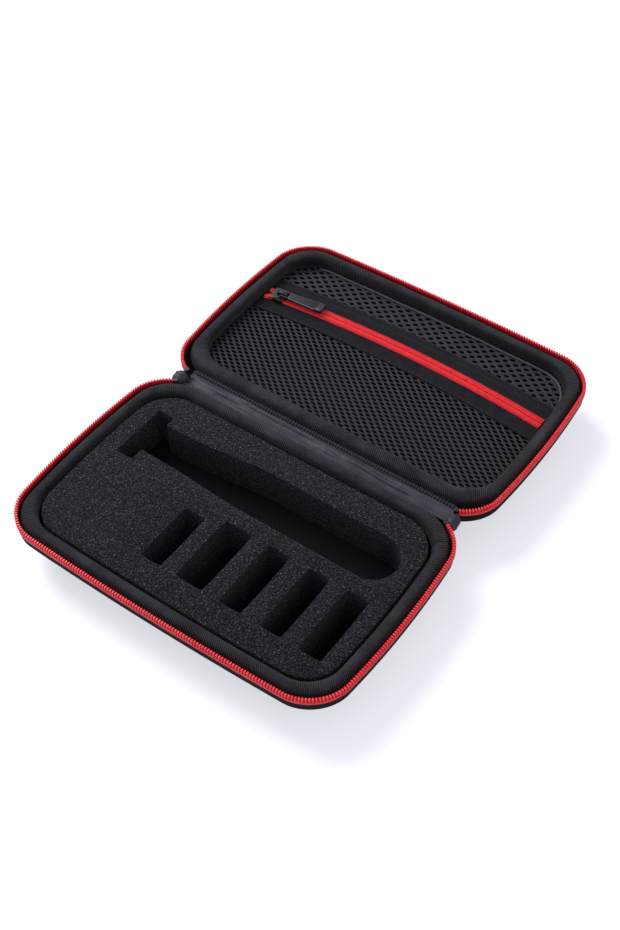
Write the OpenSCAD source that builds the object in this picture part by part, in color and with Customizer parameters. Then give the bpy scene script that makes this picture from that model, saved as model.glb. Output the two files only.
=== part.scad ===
// Hard zip case for an electric shaver and its combs, lying fully open.
// The hinge line runs along X at Y = 0. The base lies towards -Y and the lid towards +Y.
// Both halves rest on Z = 0 with their rims up at Z = half_h.

/* [Case outline] */
// Length of the rim between its corners, along X
rim_len = 196.6; // [180:0.1:220]
// Width of the rim of one half, along Y
rim_wid = 128.1; // [118:0.1:140]
// Corner radius of the rim
rim_r = 21; // [16:0.5:26]
// How far the long side away from the hinge bows out
bow_long = 2.3; // [0:0.1:4]
// How far each short side bows out
bow_short = 4.3; // [0:0.1:6]
// Height of one half, from the ground to the parting plane
half_h = 28.2; // [26:0.1:36]
// Gap between the two rims at the hinge
rim_gap = 4; // [3:0.1:6]

/* [Shell] */
// Thickness of the moulded wall and floor
shell_t = 2.6; // [2:0.1:3.5]
// Slope of the wall under the rim, in degrees from the ground
wall_a = 55; // [50:1:70]
// Radius of the bend between wall and floor
bend_r = 12; // [9:0.5:14]
// Thickness of the knit lining
lining_t = 0.6; // [0.4:0.1:1]

/* [Bound lip] */
// Width of the padded lip
lip_w = 7; // [6:0.1:8]
// Height of the padded lip
lip_h = 7.2; // [6:0.1:8]
// Groove between the lip and the zipper
lip_groove = 1; // [0.6:0.1:1.5]
// How far the base lip leans over the hinge
base_lip_reach = 2.6; // [1:0.1:3]
// How far the lid lip is set back from the hinge
lid_lip_setback = 4.4; // [3:0.1:6]

/* [Zipper round the case] */
// Thickness of the coil, across the rim
coil_t = 2.2; // [1.6:0.1:2.6]
// Height of the coil
coil_h = 4; // [3:0.1:5]
// Distance from one tooth to the next
tooth_pitch = 1.8; // [1.6:0.1:3]
// Depth of the groove between two teeth
tooth_cut = 0.5; // [0.2:0.05:0.8]
// Height of the woven tape under the coil
tape_h = 4.6; // [4:0.1:6]
// Thickness of the woven tape
tape_t = 0.8; // [0.5:0.1:1]
// First tooth on the hinge side, in from each side of the rim
tooth_in = 10.3; // [5:0.1:16]

/* [Foam insert] */
// Height of the foam block
foam_h = 22.5; // [18:0.1:24]
// Gap between the foam and the lip
foam_gap = 1.2; // [0.5:0.1:2]
// Width of the shaver head pocket, along X
head_w = 10; // [8:0.1:14]
// Length of the shaver head pocket, along Y
head_len = 34.2; // [30:0.1:38]
// Left edge of the shaver head pocket, in from the left side of the rim
head_in = 18.3; // [14:0.1:20]
// Middle of the shaver pocket, from the middle of the base towards the hinge
shaver_y = 23.4; // [20:0.1:26]
// Width of the pocket at the shaver's neck
neck_w = 20.6; // [16:0.1:24]
// Width of the pocket at the shaver's grip
grip_w = 28; // [24:0.1:30]
// Right end of the shaver pocket, in from the right side of the rim
grip_in = 17; // [14:0.1:22]
// Length of a comb slot, along Y
comb_len = 40; // [34:0.1:44]
// Length of the first comb slot
first_comb_len = 34.8; // [30:0.1:40]
// Near edge of the comb slots, from the middle of the base
comb_y = -39.3; // [-42:0.1:-36]

/* [Mesh pocket] */
// Width of the closed pocket zipper
pocket_zip_w = 7; // [6:0.1:8]
// Rise of the pocket zipper's curve over its length
pocket_rise = 5.2; // [3:0.1:7]
// Middle of the pocket zipper at its crown, from the middle of the lid
pocket_y = 23.4; // [18:0.1:26]
// Width of the solid band below the pocket zipper's middle
band_low = 12.6; // [10:0.1:14]
// Width of the solid band above the pocket zipper's middle
band_high = 14.4; // [11:0.1:16]
// Thickness of the bands and of the net
cloth_t = 0.7; // [0.5:0.1:1]
// Distance between net holes along X
net_px = 10.5; // [9:0.1:13]
// Distance between rows of net holes
net_py = 4.4; // [4:0.1:6]
// Height of the pocket's coil above its bands
pocket_coil_h = 1.8; // [1.4:0.1:2.2]

/* [Sliders and pulls] */
// Length of the pocket slider
slider_len = 11; // [9:0.1:13]
// Width of the pocket slider
slider_w = 9.4; // [8.6:0.1:10]
// Middle of the parked pocket slider, in from the left side of the rim
slider_in = 16.8; // [15.3:0.1:19]
// Length of the pocket pull
pull_len = 27; // [22:0.1:30]
// Width of the pocket pull at its free end
pull_w = 7; // [6:0.1:8]
// Running clearance between a slider and what passes through it
run_gap = 0.35; // [0.3:0.01:0.5]
// Length of the main pull
main_pull_len = 10; // [7:0.1:10.5]

/* [Hidden] */

shell_grey = [0.09, 0.09, 0.10];
knit_grey = [0.13, 0.13, 0.14];
foam_grey = [0.17, 0.165, 0.175];
satin_grey = [0.20, 0.20, 0.24];
net_grey = [0.16, 0.15, 0.18];
zip_red = [0.85, 0.05, 0.08];
gloss_black = [0.05, 0.05, 0.055];

// Rim sizes of one half
hx = rim_len / 2;
hy = rim_wid / 2;
half_y = hy + rim_gap / 2;

// Places along X, measured in from the sides of the rim
head_x = -hx + head_in;
grip_end = hx - grip_in;
slider_x = -hx + slider_in;
toothless = hx - tooth_in;
fold_x = hx - 12.3;

// Small clearances: between faces on one body, and below the parting plane
seat_gap = 0.3;
part_gap = 0.2;
touch = 0.01;

// Heights, worked down from the parting plane
coil_top = half_h - part_gap;
coil_bottom = coil_top - coil_h;
tape_bottom = coil_bottom - tape_h;
lip_top = half_h - 0.3;
lip_bottom = lip_top - lip_h;
shell_top = lip_bottom - seat_gap;
rebate_z = tape_bottom - 0.2;
foam_floor = shell_t + lining_t;
foam_top = foam_floor + foam_h;

// Depths in from the rim
tape_d = (coil_t - tape_t) / 2;
shell_d = tape_d;
wall_d = tape_d + tape_t + seat_gap;
lip_d = coil_t + lip_groove;
lip_in = lip_d + lip_w;
wall_in = wall_d + 1.5;
lining_d = wall_in + 0.15;
foam_d = lip_in + foam_gap;

// Points on each corner and on each side of the sweeps
corner_n = 9;
long_n = 4;
short_n = 6;

// Corner radius at a depth in from the rim: inner outlines keep fuller corners
function corner_radius(d) = rim_r - min(d, 4) - 0.05 * max(d - 4, 0);

// Outline of one half at depth d in from the rim, as [x, y] about the middle of the half.
// It starts in the middle of the hinge side and runs anticlockwise. A positive reach
// moves the hinge side towards the other half.
function outline(d, reach = 0, nc = corner_n, nl = long_n, ns = short_n) =
    let (
        r_far = corner_radius(d),
        r_hinge = r_far + 1.5 * max(reach, 0),
        far = hy - d,
        near = hy + reach - d,
        side = hx - d,
        raw = concat(
            [for (i = [0 : nl - 1]) [(side - r_hinge) * i / nl, -near]],
            [for (i = [0 : nc - 1])
                let (a = 270 + 90 * i / (nc - 1))
                [side - r_hinge + r_hinge * cos(a), -near + r_hinge + r_hinge * sin(a)]],
            [for (i = [1 : ns - 1])
                [side, -near + r_hinge + (far - r_far + near - r_hinge) * i / ns]],
            [for (i = [0 : nc - 1])
                let (a = 90 * i / (nc - 1))
                [side - r_far + r_far * cos(a), far - r_far + r_far * sin(a)]],
            [for (i = [1 : 2 * nl - 1]) [(side - r_far) * (1 - i / nl), far]],
            [for (i = [0 : nc - 1])
                let (a = 90 + 90 * i / (nc - 1))
                [-side + r_far + r_far * cos(a), far - r_far + r_far * sin(a)]],
            [for (i = [1 : ns - 1])
                [-side, far - r_far - (far - r_far + near - r_hinge) * i / ns]],
            [for (i = [0 : nc - 1])
                let (a = 180 + 90 * i / (nc - 1))
                [-side + r_hinge + r_hinge * cos(a), -near + r_hinge + r_hinge * sin(a)]],
            [for (i = [1 : nl - 1]) [-(side - r_hinge) * (1 - i / nl), -near]]
        )
    )
    [for (p = raw) bowed(p)];

// The bow of the short sides and of the side away from the hinge
function bowed(p) = [
    p.x + bow_short * (1 - pow(p.y / hy, 2)) * p.x / hx,
    p.y + bow_long * (1 - pow(p.x / hx, 2)) * max(p.y, 0) / hy
];

// Half-width between the lip's inner faces at height y of the outline
function lip_side(y) = hx - lip_in + bow_short * (1 - pow(y / hy, 2)) * (hx - lip_in) / hx;

// Puts a shape drawn about the middle of a half in its place, as lid or as base
module lid_place() {
    translate([0, half_y, 0])
        children();
}

module base_place() {
    mirror([0, 1, 0])
        lid_place()
            children();
}

// A tray: rings of [depth, z, reach] from the outside of the floor, over the rim, to the inside
module tray(rings) {
    pts = [for (g = rings) for (p = outline(g[0], g[2])) [p.x, p.y, g[1]]];
    n = len(outline(0));
    m = len(rings);
    sides = [for (j = [0 : m - 2]) for (i = [0 : n - 1])
        let (a = j * n + i, b = j * n + (i + 1) % n)
        each [[a, b + n, b], [a, a + n, b + n]]];
    last = m - 1;
    middles = [[0, 0, rings[0][1]], [0, 0, rings[last][1]]];
    floor_out = [for (i = [0 : n - 1]) [m * n, i, (i + 1) % n]];
    floor_in = [for (i = [0 : n - 1]) [m * n + 1, last * n + (i + 1) % n, last * n + i]];
    polyhedron(points = concat(pts, middles), faces = concat(floor_out, sides, floor_in),
        convexity = 8);
}

// A closed band round the whole rim, whose section is a loop of [depth, z, reach]
module rim_band(section) {
    pts = [for (g = section) for (p = outline(g[0], g[2])) [p.x, p.y, g[1]]];
    n = len(outline(0));
    m = len(section);
    faces = [for (j = [0 : m - 1]) for (i = [0 : n - 1])
        let (
            a = j * n + i,
            b = j * n + (i + 1) % n,
            c = ((j + 1) % m) * n + (i + 1) % n,
            e = ((j + 1) % m) * n + i
        )
        each [[a, c, b], [a, e, c]]];
    polyhedron(points = pts, faces = faces, convexity = 8);
}

// The rim as a measured path, so that teeth can be set at an even pitch
rim_path = outline(0, 0, 25, 10, 12);
rim_loop = concat(rim_path, [rim_path[0]]);
rim_steps = [for (i = 0, s = 0; i < len(rim_loop);
    s = s + (i < len(rim_loop) - 1 ? norm(rim_loop[i + 1] - rim_loop[i]) : 0), i = i + 1) s];
rim_total = rim_steps[len(rim_steps) - 1];
rim_xs = [for (i = [0 : len(rim_loop) - 1]) [rim_steps[i], rim_loop[i].x]];
rim_ys = [for (i = [0 : len(rim_loop) - 1]) [rim_steps[i], rim_loop[i].y]];

function rim_point(s) = [lookup(s, rim_xs), lookup(s, rim_ys)];

function rim_normal(s) =
    let (t = rim_point(s + 0.6) - rim_point(s - 0.6))
    [t.y, -t.x] / norm(t);

function in_from_rim(s, d) = rim_point(s) - rim_normal(s) * d;

tooth_n = 2 * floor((rim_total - 2 * toothless) / tooth_pitch / 2);
tooth_step = (rim_total - 2 * toothless) / tooth_n;

// The row of coil teeth, ribbed on its outer face
module rim_teeth() {
    outer = [for (k = [0 : 2 * tooth_n])
        in_from_rim(toothless + k * tooth_step / 2, k % 2 == 0 ? tooth_cut : 0)];
    inner = [for (k = [tooth_n : -1 : 0]) in_from_rim(toothless + k * tooth_step, coil_t)];
    translate([0, 0, coil_bottom])
        linear_extrude(height = coil_h)
            polygon(concat(outer, inner));
}

// A smooth strip that follows the rim where the zipper runs
module rim_strip(d, t, z, h, s0, s1, n) {
    outer = [for (k = [0 : n]) in_from_rim(s0 + (s1 - s0) * k / n, d)];
    inner = [for (k = [n : -1 : 0]) in_from_rim(s0 + (s1 - s0) * k / n, d + t)];
    translate([0, 0, z])
        linear_extrude(height = h)
            polygon(concat(outer, inner));
}

// Crimped stops past the last tooth at both ends of a chain
stop_len = 2.4;

module rim_stops() {
    rim_strip(0.1, coil_t - 0.2, coil_bottom + 0.4, coil_h - 0.8,
        toothless - stop_len - 0.1, toothless - 0.1, 2);
    rim_strip(0.1, coil_t - 0.2, coil_bottom + 0.4, coil_h - 0.8,
        rim_total - toothless + 0.1, rim_total - toothless + stop_len + 0.1, 2);
}

// The wall slopes out from a bend at the floor up to the rim. The bend starts this far in.
bend_steps = 5;
bend_d = shell_d + (rebate_z - bend_r * (1 - cos(wall_a))) / tan(wall_a) + bend_r * sin(wall_a);

function bend(r, d, z, reach) = [for (i = [0 : bend_steps])
    let (a = wall_a * i / bend_steps)
    [d - r * sin(a), z + r * (1 - cos(a)), reach]];

// Height of the slope above a bend, at some depth in from the rim
function slope_z(r, d, z, depth) =
    z + r * (1 - cos(wall_a)) + (d - r * sin(wall_a) - depth) * tan(wall_a);

module half_shell() {
    inner_r = bend_r - shell_t;
    inner_bend = bend(inner_r, bend_d, shell_t, 0);
    tray(concat(
        bend(bend_r, bend_d, 0, 0),
        [
            [shell_d, rebate_z, 0],
            [wall_d, rebate_z, 0],
            [wall_d, shell_top, 0],
            [wall_in, shell_top, 0],
            [wall_in, slope_z(inner_r, bend_d, shell_t, wall_in), 0]
        ],
        [for (i = [bend_steps : -1 : 0]) inner_bend[i]]
    ));
}

// Height of the lining's inside at some depth in from the rim
function lining_z(depth) =
    let (r = bend_r - shell_t - lining_t, d = bend_d + seat_gap, z = foam_floor,
        a = asin(min(1, max(0, d - depth) / r)))
    d - depth < r * sin(wall_a) ? z + r * (1 - cos(a)) : slope_z(r, d, z, depth);

// Lining tray that stands on the shell's floor and carries the lip
module half_lining(reach) {
    outer_r = bend_r - shell_t;
    inner_r = outer_r - lining_t;
    outer_d = bend_d + seat_gap;
    turn_out = lining_d + 0.15;
    turn_in = turn_out + lining_t;
    inside = bend(inner_r, outer_d, shell_t + lining_t, reach);
    tray(concat(
        bend(outer_r, outer_d, shell_t, reach),
        [
            [turn_out, slope_z(outer_r, outer_d, shell_t, turn_out), reach],
            [lining_d, lip_bottom, reach],
            [lining_d + lining_t, lip_bottom, reach],
            [turn_in, slope_z(inner_r, outer_d, shell_t + lining_t, turn_in), reach]
        ],
        [for (i = [bend_steps : -1 : 0]) inside[i]]
    ));
}

// Padded lip with a rounded top. Its hinge side reaches out by one amount at the outer
// edge and by another at the inner edge.
module half_binding(reach_out, reach_in) {
    section = [
        [0, lip_bottom],
        [0, lip_top - 3.2],
        [0.1, lip_top - 1.4],
        [0.27, lip_top - 0.35],
        [0.5, lip_top],
        [0.73, lip_top - 0.35],
        [0.9, lip_top - 1.4],
        [1, lip_top - 3.2],
        [1, lip_bottom]
    ];
    rim_band([for (g = section)
        [lip_d + lip_w * g[0], g[1], reach_out + (reach_in - reach_out) * g[0]]]);
}

base_reach_in = 1.8;
lid_reach_in = -lid_lip_setback - 2.4;
lid_lining_reach = -lid_lip_setback - 1;

module base_shell() {
    color(shell_grey) base_place() half_shell();
}

module lid_shell() {
    color(shell_grey) lid_place() half_shell();
}

module base_lining() {
    color(knit_grey) base_place() half_lining(0);
}

module lid_lining() {
    color(knit_grey) lid_place() half_lining(lid_lining_reach);
}

module base_binding() {
    color(knit_grey) base_place() half_binding(base_lip_reach, base_reach_in);
}

module lid_binding() {
    color(knit_grey) lid_place() half_binding(-lid_lip_setback, lid_reach_in);
}

tape_steps = 120;

module half_tape() {
    rim_strip(tape_d, tape_t, tape_bottom, tape_h, toothless - stop_len,
        rim_total - toothless + stop_len, tape_steps);
}

module base_zipper_tape() {
    color(shell_grey) base_place() half_tape();
}

module lid_zipper_tape() {
    color(shell_grey) lid_place() half_tape();
}

module base_zipper_teeth() {
    color(zip_red) base_place() rim_teeth();
}

module lid_zipper_teeth() {
    color(zip_red) lid_place() rim_teeth();
}

module base_zipper_stops() {
    color(gloss_black) base_place() rim_stops();
}

module lid_zipper_stops() {
    color(gloss_black) lid_place() rim_stops();
}

// Foam insert. Its pockets are drawn with Y towards the hinge.
grip_r = grip_w / 2;
grip_y = shaver_y + 1;
waist_x = head_x + 20;
full_x = 0;

// The block is stepped to sit in the bend of the tray. Each step stands this share of
// the foot further in than the top, and starts just above the lining at that depth.
foam_foot = bend_d + seat_gap - foam_d;
foam_shares = [1, 0.86, 0.64, 0.43, 0.21, 0];
top_step = len(foam_shares) - 1;

function foam_reach(i) = i < top_step ? 0 : base_reach_in;

function foam_z(i) = i == 0 ? foam_floor : i > top_step ? foam_top
    : lining_z(foam_d + foam_foot * foam_shares[i] - foam_reach(i)) + seat_gap;

module foam_blank(d, reach) {
    polygon([for (p = outline(d, reach)) [p.x, -p.y]]);
}

// Half of the pocket's width and its middle, eased from the neck at f = 0 to the grip at f = 1
function grip_side(f, side) =
    let (e = (1 - cos(180 * f)) / 2)
    shaver_y + (grip_y - shaver_y) * e + side * (neck_w + (grip_w - neck_w) * e) / 2;

module grip_outline() {
    neck_x = head_x + head_w - 1;
    ease_n = 8;
    arc_n = 16;
    near = [for (i = [0 : ease_n])
        [waist_x + (full_x - waist_x) * i / ease_n, grip_side(i / ease_n, -1)]];
    far = [for (i = [ease_n : -1 : 0])
        [waist_x + (full_x - waist_x) * i / ease_n, grip_side(i / ease_n, 1)]];
    end = [for (i = [0 : arc_n])
        let (a = -90 + 180 * i / arc_n)
        [grip_end - grip_r + grip_r * cos(a), grip_y + grip_r * sin(a)]];
    polygon(concat([[neck_x, grip_side(0, -1)]], near, end, far, [[neck_x, grip_side(0, 1)]]));
}

// Each comb slot as [left edge in from the right side of the rim, width, length]
comb_slots = [
    [124.6, 12.1, first_comb_len],
    [102.8, 16.1, comb_len],
    [76.2, 12.7, comb_len],
    [51.9, 12, comb_len],
    [29.7, 12.6, comb_len]
];

module foam_pockets() {
    translate([head_x, shaver_y - 0.9 - head_len / 2])
        square([head_w, head_len]);
    grip_outline();
    for (slot = comb_slots)
        translate([hx - slot[0], comb_y])
            square([slot[1], slot[2]]);
}

module foam_insert() {
    color(foam_grey)
        translate([0, -half_y, 0])
            union() {
                for (i = [0 : top_step])
                    translate([0, 0, foam_z(i)])
                        linear_extrude(height = min(foam_top, foam_z(i + 1) + touch) - foam_z(i))
                            difference() {
                                foam_blank(foam_d + foam_foot * foam_shares[i], foam_reach(i));
                                foam_pockets();
                            }
            }
}

// Mesh pocket in the lid. The zipper runs on an arc, so that its slider can follow it.
pocket_half = lip_side(pocket_y);
arc_r = (pow(pocket_half, 2) + pow(pocket_rise, 2)) / (2 * pocket_rise);
band_top = lip_bottom;
band_bottom = band_top - cloth_t;
net_bottom = band_bottom - cloth_t;
sewn_d = lining_d + lining_t + 4 * seat_gap;
net_lap = 3;
zip_slit = 0.5;
arc_steps = 24;

function arc_y(x, off) = pocket_y - arc_r + sqrt(pow(arc_r + off, 2) - x * x);

function arc_run(off, half, n = arc_steps) = [for (i = [0 : n])
    let (x = -half + 2 * half * i / n)
    [x, arc_y(x, off)]];

function backwards(list) = [for (i = [len(list) - 1 : -1 : 0]) list[i]];

// Outline that the pocket's cloth is cut to, tucked under the lip
cloth_line = outline(sewn_d, lid_reach_in);

function cloth_half(y) =
    hx - sewn_d + bow_short * (1 - pow(y / hy, 2)) * (hx - sewn_d) / hx - 0.4;

module pocket_band(off0, off1) {
    half = min(cloth_half(arc_y(pocket_half, off0)), cloth_half(arc_y(pocket_half, off1)));
    translate([0, 0, band_bottom])
        linear_extrude(height = cloth_t)
            polygon(concat(arc_run(off0, half), backwards(arc_run(off1, half))));
}

module pocket_band_lower() {
    color(knit_grey) lid_place() pocket_band(-band_low, -zip_slit);
}

module pocket_band_upper() {
    color(knit_grey) lid_place() pocket_band(zip_slit, band_high);
}

// One hole of the net, longer along X
function net_hole(c) = [for (q = [[-0.36, 0], [-0.2, -0.34], [0.2, -0.34], [0.36, 0], [0.2, 0.34],
    [-0.2, 0.34]]) [c.x + q.x * net_px, c.y + q.y * net_py]];

// A sheet with a closed outline and holes on staggered rows, kept off the sheet's edges
module net_sheet(edge, low_off, high_off, y0, y1) {
    margin = 0.6 * net_py;
    rows = floor((y1 - y0) / net_py);
    cols = ceil(hx / net_px);
    centres = [for (j = [0 : rows]) for (i = [-cols : cols])
        let (x = (i + (j % 2) / 2) * net_px, y = y0 + j * net_py)
        if (net_clear(x, y, low_off, high_off, margin)) [x, y]];
    holes = [for (c = centres) net_hole(c)];
    pts = concat(edge, [for (h = holes) each h]);
    paths = concat([[for (i = [0 : len(edge) - 1]) i]],
        [for (k = [0 : len(holes) - 1]) [for (i = [0 : 5]) len(edge) + 6 * k + i]]);
    translate([0, 0, net_bottom])
        linear_extrude(height = cloth_t)
            polygon(points = pts, paths = paths);
}

// True where a hole lies in the open part of the net, clear of lip and bands
function net_clear(x, y, low_off, high_off, margin) =
    let (
        in_x = abs(x) < lip_side(y) - 0.5 * net_px,
        over = low_off == undef ? y > -hy - lid_reach_in + lip_in + margin
            : y > arc_y(x, low_off) + margin,
        under = high_off == undef ? y < hy - lip_in + bow_long * (1 - pow(x / hx, 2)) - margin
            : y < arc_y(x, high_off) - margin,
        r = corner_radius(lip_in) + net_px / 2,
        cx = abs(x) - (hx - lip_in - r),
        cy_far = y - (hy - lip_in - r),
        cy_near = -(y) - (hy + lid_reach_in - lip_in - r),
        cy = max(cy_far, cy_near),
        off_corner = cx <= 0 || cy <= 0 || norm([cx, cy]) < r - 1
    )
    in_x && over && under && off_corner;

module pocket_net_lower() {
    edge_off = -band_low + net_lap;
    right = [for (p = cloth_line) if (p.x >= 0 && p.y < arc_y(p.x, edge_off) - 0.5) p];
    left = [for (p = cloth_line) if (p.x < 0 && p.y < arc_y(p.x, edge_off) - 0.5) p];
    run = arc_run(edge_off, cloth_half(arc_y(pocket_half, edge_off)));
    color(net_grey)
        lid_place()
            net_sheet(concat(right, backwards(run), left), undef, -band_low,
                -hy - lid_reach_in + lip_in, pocket_y);
}

module pocket_net_upper() {
    edge_off = band_high - net_lap;
    top = [for (p = cloth_line) if (p.y > arc_y(p.x, edge_off) + 0.5) p];
    run = arc_run(edge_off, cloth_half(arc_y(pocket_half, edge_off)));
    color(net_grey)
        lid_place()
            net_sheet(concat(top, run), band_high, undef,
                -hy - lid_reach_in + lip_in, hy);
}

// Teeth of the pocket zipper: each row is ribbed on its outer edge
pocket_tooth_n = floor(2 * (pocket_half - 1) / tooth_pitch);

module pocket_row(side) {
    half = pocket_half - 1;
    outer = [for (k = [0 : 2 * pocket_tooth_n])
        let (x = -half + half * k / pocket_tooth_n)
        [x, arc_y(x, side * (pocket_zip_w / 2 - (k % 2 == 0 ? tooth_cut : 0)))]];
    inner = arc_run(side * zip_slit, half, 2 * arc_steps);
    translate([0, 0, band_top])
        linear_extrude(height = pocket_coil_h)
            polygon(side > 0 ? concat(inner, backwards(outer)) : concat(outer, backwards(inner)));
}

module pocket_teeth_lower() {
    color(zip_red) lid_place() pocket_row(-1);
}

module pocket_teeth_upper() {
    color(zip_red) lid_place() pocket_row(1);
}

// Stops that bridge both rows at the ends of the pocket zipper
module pocket_end_stops() {
    stop_l = pocket_zip_w - 1;
    stop_t = 0.4;
    stop_x = pocket_half - 1 + seat_gap;
    color(gloss_black)
        lid_place()
            for (side = [-1, 1])
                translate([side > 0 ? stop_x - touch : -stop_x - stop_t,
                    arc_y(stop_x, 0) - stop_l / 2, band_top])
                    cube([stop_t, stop_l, 2 * stop_t]);
}

// Turns a shape drawn at the crown of the pocket zipper to a place along its arc
module on_pocket_arc(x) {
    translate([0, pocket_y - arc_r, 0])
        rotate([0, 0, -asin(x / arc_r)])
            translate([0, arc_r, 0])
                children();
}

coil_roof = band_top + pocket_coil_h;
plate_t = 1.1;
plate_bottom = coil_roof + run_gap;
plate_top = plate_bottom + plate_t;
crown_w = 2.2;
bar_r = 0.6;
window_h = 2 * bar_r + 0.4;
crown_t = 0.8;
crown_len = 5.4;
bar_x = 0.9;
bar_z = plate_top + window_h / 2;

// A plate with a round nose and tail, along X
module plate(len, w, t) {
    r = w * 0.36;
    intersection() {
        translate([-len / 2, -w / 2, 0])
            cube([len, w, t]);
        union() {
            translate([-len / 2 + r, 0, 0])
                cylinder(h = t, r = w / 2, $fn = 48);
            translate([len / 2 - r, 0, 0])
                cylinder(h = t, r = w / 2, $fn = 48);
            translate([-len / 2 + r, -w / 2, 0])
                cube([len - 2 * r, w, t]);
        }
    }
}

// Slider that straddles both rows: plates above and below, joined by a thin blade
module pocket_slider() {
    under_z = band_bottom - run_gap - plate_t;
    flange = 0.7;
    flange_drop = 1.3;
    color(gloss_black)
        lid_place()
            on_pocket_arc(slider_x) {
                translate([0, 0, plate_bottom])
                    plate(slider_len, slider_w, plate_t);
                translate([0, 0, under_z])
                    plate(slider_len, slider_w, plate_t);
                translate([-slider_len * 0.3, -0.12, under_z + plate_t - touch])
                    cube([slider_len * 0.35, 0.24, plate_bottom - under_z - plate_t + 2 * touch]);
                for (side = [-1, 1])
                    translate([-slider_len * 0.3, side * (slider_w - flange) / 2 - flange / 2,
                        plate_bottom - flange_drop])
                        cube([slider_len * 0.6, flange, flange_drop + touch]);
                difference() {
                    translate([bar_x - crown_len / 2, -crown_w / 2, plate_top - touch])
                        cube([crown_len, crown_w, window_h + crown_t + touch]);
                    translate([bar_x - crown_len / 2 + 1, -crown_w, plate_top - 2 * touch])
                        cube([crown_len - 2, 2 * crown_w, window_h + 2 * touch]);
                }
            }
}

// Pull: a cross bar through the crown, two arms and a blade that thickens to its end
module pocket_pull() {
    arm_w = 1;
    arm_gap = crown_w + 0.8;
    arm_len = 4.6;
    root_w = arm_gap + 2 * arm_w;
    blade_t = 1.2;
    end_t = 1.6;
    blade_len = pull_len - arm_len;
    color(gloss_black)
        lid_place()
            on_pocket_arc(slider_x)
                translate([bar_x, 0, bar_z]) {
                    translate([0, -root_w / 2, 0])
                        rotate([-90, 0, 0])
                            cylinder(h = root_w, r = bar_r, $fn = 32);
                    for (side = [-1, 1])
                        translate([0, side * (arm_gap + arm_w) / 2 - arm_w / 2, -bar_r])
                            cube([arm_len, arm_w, 2 * bar_r]);
                    translate([arm_len - touch, 0, -blade_t / 2])
                        linear_extrude(height = blade_t)
                            polygon([[0, -root_w / 2], [blade_len - 1, -pull_w / 2],
                                [blade_len, -pull_w / 2 + 1], [blade_len, pull_w / 2 - 1],
                                [blade_len - 1, pull_w / 2], [0, root_w / 2]]);
                    translate([pull_len - 4, -pull_w / 2 + 0.4, -end_t / 2])
                        cube([3.4, pull_w - 0.8, end_t]);
                }
}

// Fabric over the hinge: a strip outside, and a satin strip inside that lies over the lid's edge
outer_band_w = rim_gap + 2 * shell_d - 2 * seat_gap;

module hinge_outer_band() {
    color(shell_grey)
        translate([-fold_x, -outer_band_w / 2, rebate_z - 1.2])
            cube([2 * fold_x, outer_band_w, 0.8]);
}

satin_x = fold_x - 1.6;
satin_y0 = -(half_y - (hy + base_lip_reach - lip_d)) + seat_gap;
satin_y1 = half_y - (hy - lid_lip_setback - lip_d) - seat_gap;

module hinge_inner_band() {
    color(satin_grey)
        translate([-satin_x, satin_y0, shell_top + seat_gap])
            cube([2 * satin_x, satin_y1 - satin_y0, 0.8]);
}

// Folded fabric ends that close the hinge strip at both corners
fold_w = 3.2;
fold_h = 7;
fold_top = coil_top - 1;
tail_x = -fold_x - fold_w + 0.8;
main_len = 9;
slider_z = fold_top - fold_h - main_len - 4;

module hinge_fold(side) {
    r = 1.5;
    translate([side * (fold_x + seat_gap + fold_w / 2), 0, fold_top - fold_h])
        linear_extrude(height = fold_h)
            union() {
                translate([-fold_w / 2, -3.6 + r])
                    square([fold_w, 7.2 - 2 * r]);
                for (e = [-1, 1])
                    translate([0, e * (3.6 - r)])
                        circle(r = fold_w / 2, $fn = 32);
            }
}

module hinge_fold_left() {
    color(satin_grey) hinge_fold(-1);
}

module hinge_fold_right() {
    color(satin_grey) hinge_fold(1);
}

// Joined ends of both tapes, hanging from the left fold, with the parked main slider on them
tail_t = 1;
tail_w = 5;
main_w = 8.4;
main_plate = 1.2;

module zipper_tail() {
    color(shell_grey)
        translate([tail_x - tail_t / 2, -tail_w / 2, slider_z - 2])
            cube([tail_t, tail_w, fold_top - fold_h - slider_z + 2]);
}

module main_slider() {
    inside_t = tail_t + 2 * run_gap;
    wall = 0.9;
    color(gloss_black)
        translate([tail_x, 0, slider_z])
            union() {
                for (side = [-1, 1]) {
                    translate([side * (inside_t + main_plate) / 2, 0, main_len / 2])
                        rotate([0, 90, 0])
                            translate([0, 0, -main_plate / 2])
                                plate(main_len, main_w, main_plate);
                    translate([-inside_t / 2 - touch, side * (main_w - wall) / 2 - wall / 2,
                        main_len * 0.2])
                        cube([inside_t + 2 * touch, wall, main_len * 0.6]);
                }
                difference() {
                    translate([-inside_t / 2 - main_plate - 2.4, -crown_w / 2, 2])
                        cube([2.4 + touch, crown_w, crown_len]);
                    translate([-inside_t / 2 - main_plate - window_h, -crown_w, 3])
                        cube([window_h + 2 * touch, 2 * crown_w, crown_len - 2]);
                }
            }
}

main_bar_x = tail_x - (tail_t + 2 * run_gap) / 2 - main_plate - window_h / 2;
main_bar_z = slider_z + 3 + bar_r + 0.2;

module main_pull() {
    arm_w = 1;
    arm_gap = crown_w + 0.8;
    root_w = arm_gap + 2 * arm_w;
    arm_len = 3.4;
    color(gloss_black)
        translate([main_bar_x, 0, main_bar_z]) {
            translate([0, -root_w / 2, 0])
                rotate([-90, 0, 0])
                    cylinder(h = root_w, r = bar_r, $fn = 32);
            for (side = [-1, 1])
                translate([-bar_r, side * (arm_gap + arm_w) / 2 - arm_w / 2, -arm_len])
                    cube([2 * bar_r, arm_w, arm_len]);
            translate([-bar_r, -root_w / 2, -main_pull_len])
                cube([2 * bar_r, root_w, main_pull_len - arm_len + touch]);
        }
}

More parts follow.
